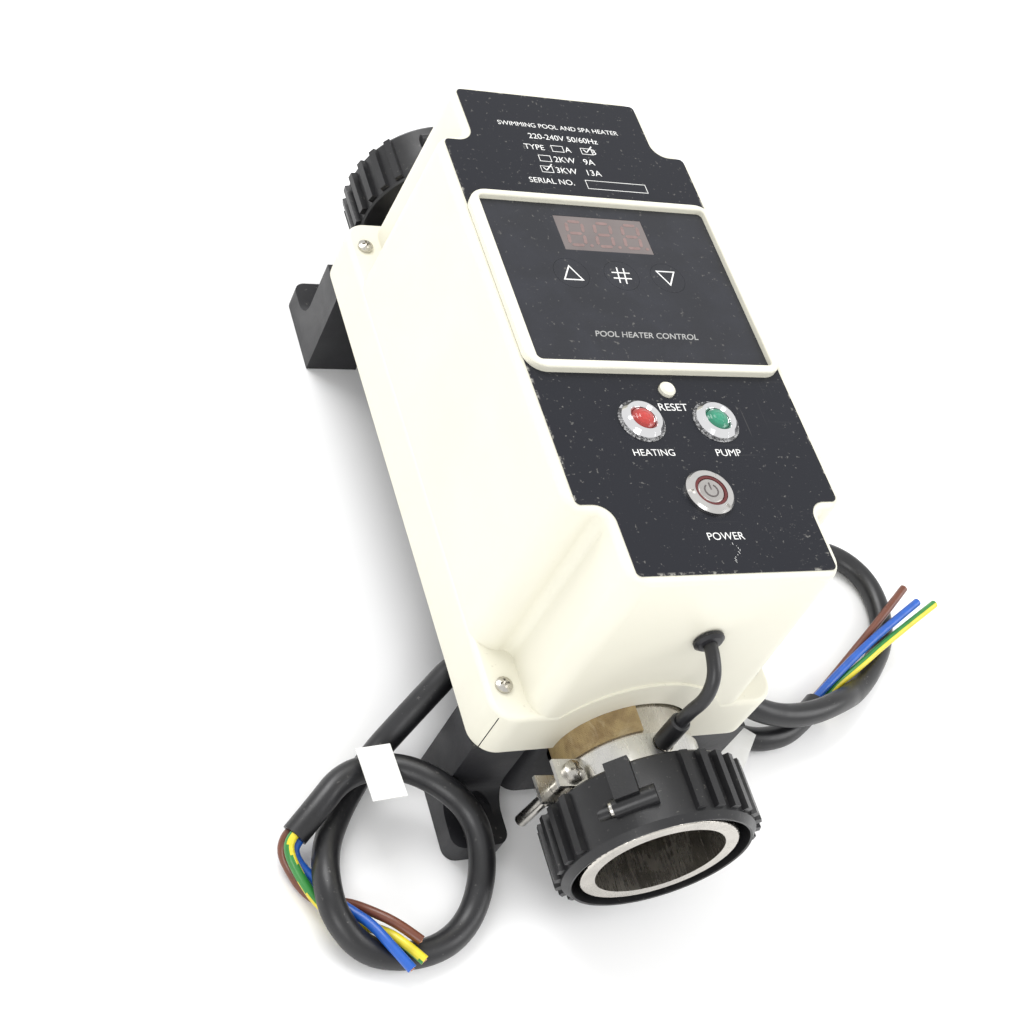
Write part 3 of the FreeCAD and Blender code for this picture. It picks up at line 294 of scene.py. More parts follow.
def moulded_black(name, colour, low, high, grain):
    made, tree, shader = material(name, colour, low, Specular_IOR_Level=0.45)
    specks = use(tree, "dust", Amount=0.35, Scale=520.0)["Mask"]
    shade = use(tree, "mottle", Colour=rgba(colour), Shade=rgba(colour, 2.0), Scale=60.0,
                Amount=0.5)["Colour"]
    feed(tree, shader, Base_Color=blend(tree, specks, shade, rgba((0.22, 0.21, 0.19))),
         Roughness=use(tree, "handling", Low=low, High=high, Scale=50.0)["Roughness"])
    bump(tree, shader, use(tree, "moulded_grain", Scale=1300.0, Waves=0.6)["Height"], grain, 0.15 * MM)
    return made


WORN_CORNER = (38 * MM, -100 * MM, LABEL_TOP)


def label_film(finish):
    """Printed film with faint hairlines, worn pale along its outer edge and at one corner."""
    made, tree, shader = material("label_film", finish.label, 0.33, Specular_IOR_Level=0.25)
    place = placed(tree)
    across = add(tree, "SeparateXYZ", {0: place})
    half = (corner_high("front_label") - corner_low("front_label")) / 2
    rim_x = spread(tree, arithmetic(tree, "ABSOLUTE", across.outputs["X"]), half.x - 0.9 * MM, half.x)
    rim_y = spread(tree, arithmetic(tree, "ABSOLUTE", across.outputs["Y"]), half.y - 1.1 * MM, half.y)
    rim = arithmetic(tree, "MAXIMUM", rim_x, rim_y)
    chips = spread(tree, noise(tree, place, 260.0, 4.0, 0.7), 0.54, 0.62)
    corner = add(tree, "VectorMath", {0: place, 1: WORN_CORNER}, operation="DISTANCE")
    near = spread(tree, corner.outputs["Value"], 6 * MM, 17 * MM, 1.0, 0.0)
    flakes = spread(tree, noise(tree, placed(tree, (1.0, 2.2, 1.0)), 330.0, 5.0, 0.75), 0.60, 0.66)
    worn_rim = arithmetic(tree, "MULTIPLY", rim, chips)
    worn_corner = arithmetic(tree, "MULTIPLY", arithmetic(tree, "MULTIPLY", near, flakes), 0.5)
    wear = arithmetic(tree, "ADD", worn_rim, worn_corner, clamp=True)
    specks = use(tree, "dust", Amount=0.30, Scale=600.0)["Mask"]
    marks = use(tree, "hairlines", Scale=1.0, Amount=0.10)["Mask"]
    pale = arithmetic(tree, "MAXIMUM", arithmetic(tree, "MAXIMUM", wear, specks), marks)
    feed(tree, shader, Base_Color=blend(tree, pale, rgba(finish.label), rgba((0.33, 0.32, 0.29))),
         Roughness=use(tree, "handling", Low=0.30, High=0.42, Scale=28.0)["Roughness"])
    bump(tree, shader, use(tree, "moulded_grain", Scale=2600.0, Waves=0.5)["Height"], 0.05, 0.05 * MM)
    return made


def frame_moulding(finish):
    colour = [channel * 1.02 for channel in finish.cover]
    made, tree, shader = material("frame_moulding", colour, 0.38)
    shade = use(tree, "mottle", Colour=rgba(colour), Shade=rgba(colour, 0.86), Scale=70.0,
                Amount=0.5)["Colour"]
    feed(tree, shader, Base_Color=shade,
         Roughness=use(tree, "handling", Low=0.32, High=0.46, Scale=60.0)["Roughness"])
    bump(tree, shader, use(tree, "moulded_grain", Scale=1800.0, Waves=0.4)["Height"], 0.08, 0.1 * MM)
    return made


def metal(name, colour, low, high, scoring, grime):
    """Drawn metal between two roughnesses, scored along its length and stained by grime."""
    made, tree, shader = material(name, colour, low, Metallic=1.0)
    drawn = use(tree, "drawn_metal", Scale=1.0, Low=low, High=high)
    stained = use(tree, "mottle", Colour=rgba(colour), Shade=rgba(colour, 0.45), Scale=90.0, Amount=grime)
    feed(tree, shader, Base_Color=stained["Colour"], Roughness=drawn["Roughness"])
    bump(tree, shader, drawn["Height"], scoring, 0.05 * MM)
    return made


def smoked_window():
    made, tree, shader = material("smoked_window", (0.14, 0.115, 0.11), 0.22, Coat_Weight=0.6,
                                  Coat_Roughness=0.1)
    shade = use(tree, "mottle", Colour=(0.15, 0.125, 0.12, 1), Shade=(0.10, 0.08, 0.08, 1), Scale=45.0,
                Amount=0.7)
    feed(tree, shader, Base_Color=shade["Colour"],
         Roughness=use(tree, "handling", Low=0.18, High=0.30, Scale=40.0)["Roughness"])
    bump(tree, shader, use(tree, "moulded_grain", Scale=3000.0, Waves=0.3)["Height"], 0.03, 0.05 * MM)
    return made


def lens(name, colour, centre):
    """Coloured lens moulded with rings of small prisms, with a painted glow that makes it brighter in the
    middle and painted shade that darkens each prism towards its rim.
    """
    made, tree, shader = material(name, colour, 0.12, Coat_Weight=0.7, Coat_Roughness=0.06)
    place = placed(tree, centre=centre)
    rings = add(tree, "TexWave", {"Vector": place, "Scale": 260.0, "Distortion": 0.0}, wave_type="RINGS",
                rings_direction="Z")
    cells = add(tree, "TexVoronoi", {"Vector": place, "Scale": 1100.0})
    from_middle = add(tree, "VectorMath", {0: place}, operation="LENGTH")
    # painted glow: the lens colour is painted lighter towards its middle
    painted_glow = spread(tree, from_middle.outputs["Value"], 0.6 * MM, 4.6 * MM, 1.0, 0.0)
    painted_glow_colour = [min(1, channel * 1.6 + 0.03) for channel in colour]
    shade = blend(tree, painted_glow, rgba(colour, 0.55), rgba(painted_glow_colour))
    # painted shade: each prism's colour is painted darker towards its rim
    edges = spread(tree, cells.outputs["Distance"], 0.1, 0.7, 0, 0.4)
    feed(tree, shader, Base_Color=blend(tree, edges, shade, rgba(colour, 0.5)))
    prisms = arithmetic(tree, "MULTIPLY", cells.outputs["Distance"], 0.6)
    height = arithmetic(tree, "ADD", rings.outputs["Fac"], prisms)
    bump(tree, shader, height, 0.35, 0.2 * MM)
    return made


def insulation_cloth(finish):
    """Glass cloth soaked in resin: a coarse weave under brown, uneven varnish."""
    made, tree, shader = material("insulation_cloth", finish.wrap, 0.5, Coat_Weight=0.25,
                                  Coat_Roughness=0.35)
    stains = use(tree, "mottle", Colour=rgba(finish.wrap), Shade=(0.16, 0.09, 0.03, 1), Scale=120.0,
                 Amount=0.85)
    pale = spread(tree, noise(tree, placed(tree), 70.0, 5.0, 0.6, 1.2), 0.55, 0.75)
    threads = []
    for turn in (0.0, math.pi / 2):
        wave = add(tree, "TexWave", {"Vector": placed(tree, turn=(0, 0, turn)), "Scale": 480.0,
                                     "Distortion": 1.5, "Detail Scale": 60.0})
        threads.append(wave.outputs["Fac"])
    weave = arithmetic(tree, "MULTIPLY", threads[0], threads[1])
    patches = arithmetic(tree, "MULTIPLY", pale, 0.6)
    feed(tree, shader, Base_Color=blend(tree, patches, stains["Colour"], (0.60, 0.50, 0.32, 1)),
         Roughness=use(tree, "handling", Low=0.35, High=0.75, Scale=80.0)["Roughness"])
    wrinkles = arithmetic(tree, "MULTIPLY", noise(tree, placed(tree), 160.0, 4.0), 2.5)
    bump(tree, shader, arithmetic(tree, "ADD", weave, wrinkles), 0.6, 0.4 * MM)
    return made


def sheath_rubber(finish):
    """Extruded sheath: soft sheen, fine chatter marks and a little dust."""
    made, tree, shader = material("sheath_rubber", finish.cord, 0.4, Specular_IOR_Level=0.55)
    specks = use(tree, "dust", Amount=0.30, Scale=480.0)["Mask"]
    shade = use(tree, "mottle", Colour=rgba(finish.cord), Shade=rgba(finish.cord, 2.4), Scale=50.0,
                Amount=0.6)
    feed(tree, shader, Base_Color=blend(tree, specks, shade["Colour"], (0.20, 0.19, 0.18, 1)),
         Roughness=use(tree, "handling", Low=0.30, High=0.46, Scale=70.0)["Roughness"])
    bump(tree, shader, use(tree, "moulded_grain", Scale=900.0, Waves=2.0)["Height"], 0.10, 0.15 * MM)
    return made


def insulation_colour(name, colour):
    made, tree, shader = material(name, colour, 0.32, Coat_Weight=0.15, Coat_Roughness=0.2)
    shade = use(tree, "mottle", Colour=rgba(colour), Shade=rgba(colour, 0.6), Scale=160.0,
                Amount=0.5)["Colour"]
    specks = use(tree, "dust", Amount=0.2, Scale=900.0)["Mask"]
    feed(tree, shader, Base_Color=blend(tree, specks, shade, (0.3, 0.28, 0.24, 1)),
         Roughness=use(tree, "handling", Low=0.26, High=0.42, Scale=120.0)["Roughness"])
    bump(tree, shader, use(tree, "moulded_grain", Scale=1600.0, Waves=1.0)["Height"], 0.08, 0.1 * MM)
    return made


def flag_paper():
    made, tree, shader = material("flag_paper", (0.80, 0.80, 0.78), 0.7)
    shade = use(tree, "mottle", Colour=(0.83, 0.83, 0.81, 1), Shade=(0.66, 0.65, 0.60, 1), Scale=80.0,
                Amount=0.5)
    feed(tree, shader, Base_Color=shade["Colour"],
         Roughness=use(tree, "handling", Low=0.6, High=0.8, Scale=90.0)["Roughness"])
    bump(tree, shader, use(tree, "moulded_grain", Scale=2200.0, Waves=3.0)["Height"], 0.12, 0.1 * MM)
    return made


def print_ink(name, colour, roughness=0.45):
    made, tree, shader = material(name, colour, roughness)
    worn = use(tree, "mottle", Colour=rgba(colour), Shade=rgba(colour, 0.6), Scale=300.0, Amount=0.6)
    feed(tree, shader, Base_Color=worn["Colour"])
    bump(tree, shader, use(tree, "moulded_grain", Scale=2500.0, Waves=0.2)["Height"], 0.04, 0.05 * MM)
    return made


def clear_film():
    """Thin torn film that shows the surface under it."""
    made, tree, shader = material("clear_film", (0.5, 0.5, 0.5), 0.3)
    shreds = spread(tree, noise(tree, placed(tree), 900.0, 4.0, 0.7, 1.0), 0.45, 0.62)
    feed(tree, shader, Base_Color=blend(tree, shreds, (0.02, 0.02, 0.022, 1), (0.50, 0.50, 0.50, 1)),
         Roughness=use(tree, "handling", Low=0.2, High=0.6, Scale=200.0)["Roughness"])
    bump(tree, shader, shreds, 0.5, 0.1 * MM)
    return made


def laminate():
    made, tree, shader = material("laminate", (0.02, 0.11, 0.04), 0.35, Coat_Weight=0.4)
    tracks = add(tree, "TexBrick", {"Vector": placed(tree), "Scale": 120.0, "Color1": (0.02, 0.12, 0.045, 1),
                                    "Color2": (0.018, 0.10, 0.04, 1), "Mortar": (0.05, 0.20, 0.09, 1),
                                    "Mortar Size": 0.03})
    feed(tree, shader, Base_Color=tracks.outputs["Color"],
         Roughness=use(tree, "handling", Low=0.28, High=0.45, Scale=80.0)["Roughness"])
    bump(tree, shader, tracks.outputs["Fac"], 0.15, 0.05 * MM)
    return made


FINISHES = {}


def finish_nodes(finish, *nodes):
    """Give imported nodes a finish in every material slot."""
    for node in nodes:
        for slot in bpy.data.objects[node].material_slots:
            slot.material = FINISHES[finish]


# ---------------------------------------------------------------- making pieces

def piece(name, mesh, finish, body=HOUSING, stands_for=()):
    """Object from a mesh or curve that already lies in place."""
    made = bpy.data.objects.new(name, mesh)
    bpy.context.scene.collection.objects.link(made)
    if finish:
        mesh.materials.append(FINISHES[finish])
    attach(made, body)
    if stands_for:
        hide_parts(*stands_for)
    return made


def closed(name, shape):
    """Mesh from a bmesh, with merged doubles and outward faces."""
    bmesh.ops.remove_doubles(shape, verts=shape.verts, dist=1e-7)
    bmesh.ops.recalc_face_normals(shape, faces=shape.faces)
    mesh = bpy.data.meshes.new(name)
    shape.to_mesh(mesh)
    shape.free()
    return mesh


def thicken(shape, thick):
    """Raise a flat outline into a plate."""
    raised = bmesh.ops.extrude_face_region(shape, geom=shape.faces[:])
    top = [item for item in raised["geom"] if isinstance(item, bmesh.types.BMVert)]
    bmesh.ops.translate(shape, verts=top, vec=(0, 0, thick))


def lay(shape, centre, turn=0.0):
    """Turn a shape about the upright and move it to its place."""
    place = Matrix.Translation(centre) @ Matrix.Rotation(turn, 4, "Z")
    bmesh.ops.transform(shape, matrix=place, verts=shape.verts)


def lettering(words, centre, width, slant=0.0, outline=0.0):
    """Mesh of raised words, set to a width and laid about a centre."""
    half_thick = 0.5
    font = bpy.data.curves.new("words", "FONT")
    font.body = words
    font.align_x = "CENTER"
    font.align_y = "CENTER"
    font.shear = slant
    font.offset = outline
    font.extrude = half_thick
    holder = bpy.data.objects.new("words", font)
    bpy.context.scene.collection.objects.link(holder)
    bpy.context.view_layer.update()
    flat = bpy.data.meshes.new_from_object(holder.evaluated_get(bpy.context.evaluated_depsgraph_get()))
    bpy.data.objects.remove(holder)
    xs = [vertex.co.x for vertex in flat.vertices]
    ys = [vertex.co.y for vertex in flat.vertices]
    scale = width / (max(xs) - min(xs))
    shape = bmesh.new()
    shape.from_mesh(flat)
    bpy.data.meshes.remove(flat)
    shift = Vector((-(max(xs) + min(xs)) / 2, -(max(ys) + min(ys)) / 2, half_thick))
    bmesh.ops.translate(shape, verts=shape.verts, vec=shift)
    bmesh.ops.scale(shape, verts=shape.verts, vec=(scale, scale, PRINT_THICK))
    lay(shape, centre)
    return closed(words.lower().replace(" ", "_"), shape)


def on_label(x, y):
    """Place on the label, from millimetres."""
    return Vector((x * MM, y * MM, LABEL_TOP + PRINT_LIFT))


def plate(width, height, bevel=0.0):
    """Flat rectangle with cut corners, as a bmesh about the origin."""
    shape = bmesh.new()
    bmesh.ops.create_grid(shape, x_segments=1, y_segments=1, size=0.5)
    bmesh.ops.scale(shape, verts=shape.verts, vec=(width, height, 1))
    if bevel:
        bmesh.ops.bevel(shape, geom=shape.verts[:], offset=bevel, offset_type="OFFSET", segments=1,
                        profile=0.5, affect="VERTICES", material=-1)
    return shape


def hollow_out(shape, stroke):
    """Leave only a border of a flat shape."""
    face = shape.faces[:]
    bmesh.ops.inset_region(shape, faces=face, thickness=stroke, use_even_offset=True, use_boundary=True)
    bmesh.ops.delete(shape, geom=face, context="FACES")


def join(shape, other):
    """Add one bmesh to another and free it."""
    spare = bpy.data.meshes.new("spare")
    other.to_mesh(spare)
    other.free()
    shape.from_mesh(spare)
    bpy.data.meshes.remove(spare)


# ---------------------------------------------------------------- stage

# The camera's own axes and its place, in the frame's axes and metres.
CAMERA_RIGHT = (0.88890, -0.27519, 0.36623)
CAMERA_UP = (0.01334, 0.81468, 0.57976)
CAMERA_BACK = (-0.45790, -0.51046, 0.72784)
CAMERA_PLACE = (-0.3284, -0.3671, 0.5506)
SENSOR = 36
# Each lamp: its name, place, side in metres and power in watts. All face the middle of the heater.
LAMPS = (("key", (-0.5, 0.9, 1.5), 1.0, 20.0), ("fill", (1.3, -0.5, 1.0), 0.9, 9.0),
         ("front", (-0.9, -1.3, 0.9), 0.8, 9.0))
LAMP_AIM = Vector((0, 0, 0.06))
SKY_STRENGTH = 0.95
FLOOR_DROP = 0.2 * MM


def make_stage(settings):
    camera = bpy.data.cameras.new("camera")
    camera.lens = settings.lens
    camera.sensor_width = SENSOR
    camera.clip_start = 0.02
    seat = bpy.data.objects.new("camera", camera)
    columns = [Vector(column) for column in (CAMERA_RIGHT, CAMERA_UP, CAMERA_BACK)]
    turned = Matrix(columns).transposed().to_4x4()
    seat.matrix_world = Matrix.Translation(CAMERA_PLACE) @ turned
    bpy.context.scene.collection.objects.link(seat)
    bpy.context.scene.camera = seat
    shape = bmesh.new()
    bmesh.ops.create_grid(shape, x_segments=1, y_segments=1, size=settings.floor_size / 2)
    mesh = bpy.data.meshes.new("floor")
    shape.to_mesh(mesh)
    shape.free()
    floor = bpy.data.objects.new("floor", mesh)
    floor.location.z = -FLOOR_DROP
    pale_floor = material("pale_floor", (0.92, 0.92, 0.92), 0.75)[0]
    mesh.materials.append(pale_floor)
    bpy.context.scene.collection.objects.link(floor)
    world = bpy.data.worlds.new("studio")
    world.use_nodes = True
    sky = world.node_tree.nodes["Background"]
    sky.inputs["Color"].default_value = (1.0, 1.0, 1.0, 1)
    sky.inputs["Strength"].default_value = SKY_STRENGTH
    bpy.context.scene.world = world
    bpy.context.scene.view_settings.view_transform = "Standard"
    for name, place, size, power in LAMPS:
        lamp = bpy.data.lights.new(name, "AREA")
        lamp.shape = "SQUARE"
        lamp.size = size
        lamp.energy = power
        holder = bpy.data.objects.new(name, lamp)
        holder.location = place
        holder.rotation_euler = (LAMP_AIM - Vector(place)).to_track_quat("-Z", "Y").to_euler()
        bpy.context.scene.collection.objects.link(holder)


# ---------------------------------------------------------------- cords

# Out of the left gland, down beside the foot, once round over the foot and back across itself.
SUPPLY_ROUTE = [
    (-30, -72, 36), (-46, -72, 36), (-59.5, -81.5, 26), (-69, -88, 16.5), (-78, -94.5, 9),
    (-88, -105, 6), (-98.5, -118.5, 6.5), (-106, -131, 10.5), (-110, -144, 14.4), (-109, -156.5, 12.2),
    (-99, -167.5, 5.6), (-84, -171.5, 5), (-69, -169.5, 5), (-57, -161.5, 5.5), (-50.5, -149.5, 10.5),
    (-49, -137, 16), (-52, -126, 20), (-61, -117.5, 24), (-72, -107.5, 21.5), (-84.5, -104, 18),
    (-97, -107.5, 17.8), (-106.5, -116.5, 16.2), (-116, -124.5, 11),
]
# Out of the right gland, over its own later turn, once round on the floor and out beside the first strand.
PUMP_ROUTE = [
    (30, -72, 36), (46, -72, 36), (63, -83, 29), (81, -94, 21.8), (99, -97.5, 17.5),
    (117, -96, 16), (133.5, -90.5, 14), (150, -83, 6.6), (165, -71.5, 5), (177.5, -58, 5),
    (184, -42, 5), (184, -26, 5), (175, -13, 5), (160, -7.5, 5), (142, -5, 5), (124, -3.5, 5),
    (106, -5.5, 5), (89, -13, 5), (75, -25, 5), (66, -40, 5), (62, -57, 5), (64.5, -75, 5),
    (73, -91, 5), (87, -100.5, 5), (103, -100.5, 5), (116, -94.5, 5), (128, -86, 5),
]
# Each core: its angle round the cord's end in degrees, its finish, and its route after that.
CORES = {
    "supply_core_brown": (-30, "core_brown", [
        (-120, -129, 5.6), (-117.5, -134, 3.2), (-115, -139.5, 2), (-111, -145, 2), (-105, -147, 2),
        (-99.5, -148.6, 4), (-94, -155, 9.5), (-87, -162, 13), (-80.5, -169, 13)]),
    "supply_core_earth": (90, "core_earth", [
        (-119.1, -131.6, 10.4), (-117.2, -136, 8.4), (-115, -140.5, 6.9), (-112.3, -146.5, 6.2),
        (-108.3, -152, 6), (-103, -155.8, 4.4), (-97, -157, 3), (-91.5, -161, 7.2), (-87.5, -167.5, 12.2),
        (-81, -176, 12.6)]),
    "supply_core_blue": (210, "core_blue", [
        (-115.6, -132, 6.6), (-112.9, -136, 5.6), (-110, -140.5, 6), (-107, -145.8, 6), (-103.5, -149.8, 6.6),
        (-100.5, -154.2, 8.8), (-96, -160.2, 11.2), (-92, -169, 13), (-86.5, -178.5, 13)]),
    "pump_core_brown": (240, "core_brown", [
        (140, -76.2, 4.4), (158.5, -62.5, 11), (173, -52, 15), (189.5, -39.2, 19)]),
    "pump_core_blue": (120, "core_blue", [
        (139.2, -77, 9.2), (158.2, -65.4, 14.8), (174.5, -56.5, 17), (193.4, -46.8, 19)]),
    "pump_core_earth": (0, "core_earth", [
        (140.5, -79.4, 6.4), (154.6, -72.6, 12.7), (171, -63.5, 15.4), (202.4, -48.2, 19)]),
}
# A core starts this far off the cord's cut end, and runs straight to the second distance, in millimetres.
CORE_GAP = 0.1
CORE_STRAIGHT = 3.4
CORE_ROUNDNESS = 4
CORE_SIDES = 2 * (CORE_ROUNDNESS + 2)
# How far round its yellow core the green stripe starts, and how much it winds, in sides of the core.
EARTH_STRIPES = {"supply": (0, 0.12), "pump": (7, 0.0)}
STRIPE_WIDTH = CORE_SIDES * 0.45
# Each cord: its route, its gland, the gland's outer end in X, and its real length in metres.
CORD_ENDS = {
    "supply": (SUPPLY_ROUTE, "supply_gland", corner_low("supply_gland").x, 0.315),
    "pump": (PUMP_ROUTE, "pump_gland", corner_high("pump_gland").x, 0.456),
}


def smooth_line(name, route, diameter, roundness=6):
    """Round cord along a smooth curve steered by its route, in metres."""
    curve = bpy.data.curves.new(name, "CURVE")
    curve.dimensions = "3D"
    curve.bevel_depth = diameter / 2
    curve.bevel_resolution = roundness
    curve.use_fill_caps = True
    spline = curve.splines.new("NURBS")
    spline.points.add(len(route) - 1)
    for point, place in zip(spline.points, route):
        point.co = (*place, 1)
    spline.order_u = 3
    spline.use_endpoint_u = True
    spline.resolution_u = 10
    return curve


def core_start(route, angle, reach):
    """Where a core leaves the cut end of its cord, and the end of its first straight bit."""
    end, before = Vector(route[-1]), Vector(route[-2])
    along = (end - before).normalized()
    side = along.cross(Vector((0, 0, 1))).normalized()
    turn = math.radians(angle)
    offset = side * (reach * math.cos(turn)) + side.cross(along) * (reach * math.sin(turn))
    return [end + along * gap + offset for gap in (CORE_GAP, CORE_STRAIGHT)]


def baked(curve):
    """Mesh of a curve."""
    holder = bpy.data.objects.new("holder", curve)
    bpy.context.scene.collection.objects.link(holder)
    bpy.context.view_layer.update()
    mesh = bpy.data.meshes.new_from_object(holder.evaluated_get(bpy.context.evaluated_depsgraph_get()))
    bpy.data.objects.remove(holder)
    return mesh


def strands(route, diameter, random_source):
    """Seven copper strands that stand just proud of a cut core."""
    end, before = Vector(route[-1]), Vector(route[-2])
    along = (end - before).normalized()
    facing = along.to_track_quat("Z", "Y").to_matrix().to_4x4()
    shape = bmesh.new()
    thick = diameter / 3
    sunk = 0.8 * MM
    for number in range(7):
        reach = 0 if number == 0 else thick * 0.98
        turn = number * math.pi / 3
        proud = random_source.uniform(0.10, 0.45) * MM
        offset = Vector((reach * math.cos(turn), reach * math.sin(turn), proud / 2 - sunk / 2))
        place = Matrix.Translation(end) @ facing @ Matrix.Translation(offset)
        bmesh.ops.create_cone(shape, cap_ends=True, segments=10, radius1=thick / 2, radius2=thick / 2 * 0.9,
                              depth=proud + sunk, matrix=place)
    return shape


def stripe_earth(mesh, start, twist):
    """Green stripe wound slowly round a yellow core."""
    mesh.materials.append(FINISHES["core_green"])
    for face in mesh.polygons:
        if len(face.vertices) != 4:
            continue
        ring, step = divmod(face.index, CORE_SIDES)
        if (step + start + ring * twist) % CORE_SIDES < STRIPE_WIDTH:
            face.material_index = 1


def make_cords(sizes):
    random_source = random.Random(7)
    reach = sizes.core_pitch * sizes.core_diameter / MM
    for side, (route, gland, exit_x, long) in CORD_ENDS.items():
        name = side + "_cord_sheath"
        line = smooth_line(name, [Vector(point) * MM for point in route], sizes.cord_diameter)
        sheath = piece(name, line, "sheath_rubber", stands_for=[side + "_cord"])
        copper = bmesh.new()
        for label, (angle, finish, points) in CORES.items():
            if not label.startswith(side):
                continue
            path = [Vector(point) * MM for point in (*core_start(route, angle, reach), *points)]
            mesh = baked(smooth_line(label + "_wire", path, sizes.core_diameter, CORE_ROUNDNESS))
            mesh.materials.clear()
            wire = piece(label + "_wire", mesh, finish, stands_for=[label])
            if finish == "core_earth":
                stripe_earth(mesh, *EARTH_STRIPES[side])
            mesh.shade_smooth()
            join(copper, strands(path, sizes.strand_diameter, random_source))
        bundle = side + "_copper_strands"
        piece(bundle, closed(bundle, copper), "copper").name


# ---------------------------------------------------------------- label printing

# The title's place and width, then each other line: its name, words, centre and width, in millimetres.
TITLE_LINE = ((0, 94.3), 52.5)
LEGENDS = [
    ("volts", "220-240V 50/60Hz", (0, 88.4), 30.0), ("kind", "TYPE        A        B", (-3.2, 82.4), 31.0),
    ("low_power", "2KW   9A", (1.0, 76.6), 17.5), ("high_power", "3KW   13A", (1.0, 70.8), 19.5),
    ("serial", "SERIAL NO.", (-12.6, 64.6), 19.0), ("heating", "HEATING", (-15, -62), 16.2),
    ("pump", "PUMP", (15, -62), 10.2), ("reset", "RESET", (0, -42.4), 11.6),
    ("power", "POWER", (0, -96.4), 14.4),
]
# Each box to tick has one size. The serial number's box is longer.
TICK_BOXES = ((-4.4, 82.4), (8.4, 82.4), (-11.6, 76.6), (-12.6, 70.8))
TICK_BOX_SIZE = (5.2, 3.4)
SERIAL_BOX = (15.4, 64.4, 26.5, 4.6)
BOX_STROKE = 0.28 * MM
TICKS = ((8.6, 82.9), (-12.4, 71.3))
# The two strokes of a tick: length, turn, and place about the tick's own.
TICK_STROKES = ((1.9, -0.9, -1.0, -0.4), (4.6, 0.85, 1.1, 0.7))
TICK_WIDTH = 0.45 * MM


def make_label_printing(words):
    for name, text, place, width in [("title", words.title, *TITLE_LINE), *LEGENDS]:
        mesh = lettering(text, on_label(*place), width * MM)
        piece("legend_" + name, mesh, "legend_ink")
    boxes = bmesh.new()
    for x, y, width, height in (*[(*place, *TICK_BOX_SIZE) for place in TICK_BOXES], SERIAL_BOX):
        box = plate(width * MM, height * MM)
        hollow_out(box, BOX_STROKE)
        thicken(box, PRINT_THICK)
        lay(box, on_label(x, y))
        join(boxes, box)
    piece("legend_boxes", closed("legend_boxes", boxes), "legend_ink")
    ticks = bmesh.new()
    for x, y in TICKS:
        for long, turn, dx, dy in TICK_STROKES:
            stroke = plate(long * MM, TICK_WIDTH)
            thicken(stroke, PRINT_THICK)
            lay(stroke, on_label(x + dx, y + dy) + Vector((0, 0, PRINT_THICK)), turn)
            join(ticks, stroke)
    piece("legend_ticks", closed("legend_ticks", ticks), "legend_ink")


def make_scuffs():
    """A few hair-thin scuffs in the film under the power legend, along a wavering line."""
    random_source = random.Random(3)
    scuffs = bmesh.new()
    count = 9
    for number in range(count):
        along = number / (count - 1)
        x = 1.5 + 1.6 * math.sin(along * 5) + random_source.uniform(-0.3, 0.3)
        y = -99.5 - 7.0 * along
        long = random_source.uniform(0.5, 1.3) * MM
        wide = random_source.uniform(0.08, 0.16) * MM
        scuff = plate(long, wide, 0.02 * MM)
        thicken(scuff, PRINT_THICK / 2)
        lay(scuff, on_label(x, y), random_source.uniform(1.0, 2.2))
        join(scuffs, scuff)
    piece("film_scuffs", closed("film_scuffs", scuffs), "legend_ink")


# ---------------------------------------------------------------- control panel

TRIANGLE_RADIUS = 4.9 * MM
TRIANGLE_DROP = 1.0 * MM
HASH_BAR = 7.6 * MM
HASH_HALF_GAP = 1.35 * MM
HASH_LEAN = 0.12
DIGIT_TALL, DIGIT_WIDE, DIGIT_STROKE = 11.6 * MM, 6.6 * MM, 1.35 * MM
DIGIT_PLACES = (-11.6, 0.2, 12.0)


def triangle(stroke, flip):
    """Outline of a triangle that points up the panel, or down it."""
    shape = bmesh.new()
    bmesh.ops.create_circle(shape, cap_ends=True, segments=3, radius=TRIANGLE_RADIUS)
    turned = Matrix.Rotation(math.pi if flip else 0.0, 3, "Z")
    bmesh.ops.rotate(shape, verts=shape.verts, matrix=turned)
    hollow_out(shape, stroke)
    return shape


def make_key_symbols(words):
    symbols = {"key_up": triangle(words.stroke, False), "key_down": triangle(words.stroke, True)}
    for key, shape in symbols.items():
        thicken(shape, PRINT_THICK)
        centre = middle(key)
        drop = -TRIANGLE_DROP if key == "key_up" else TRIANGLE_DROP
        lay(shape, Vector((centre.x, centre.y + drop, corner_high(key).z + PRINT_LIFT)))
        piece(key + "_symbol", closed(key + "_symbol", shape), "legend_ink", key + "_body")
    centre = middle("key_set")
    gate = bmesh.new()
    for turn in (0.0, math.pi / 2):
        for side in (-1, 1):
            bar = plate(HASH_BAR, words.stroke)
            thicken(bar, PRINT_THICK)
            lay(bar, Vector((0, side * HASH_HALF_GAP, 0)))
            lift = PRINT_THICK * 0.4 if turn else 0.0
            lay(bar, Vector((0, 0, lift)), turn - (HASH_LEAN if turn else 0.0))
            join(gate, bar)
    lay(gate, Vector((centre.x, centre.y, corner_high("key_set").z + PRINT_LIFT)))
    piece("key_set_symbol", closed("key_set_symbol", gate), "legend_ink", "key_set_body")


def segment(long, wide, turn, x, y):
    """One bar of a digit, with pointed ends."""
    bar = plate(long, wide, wide * 0.45)
    thicken(bar, PRINT_THICK)
    lay(bar, Vector((x, y, 0)), turn)
    return bar


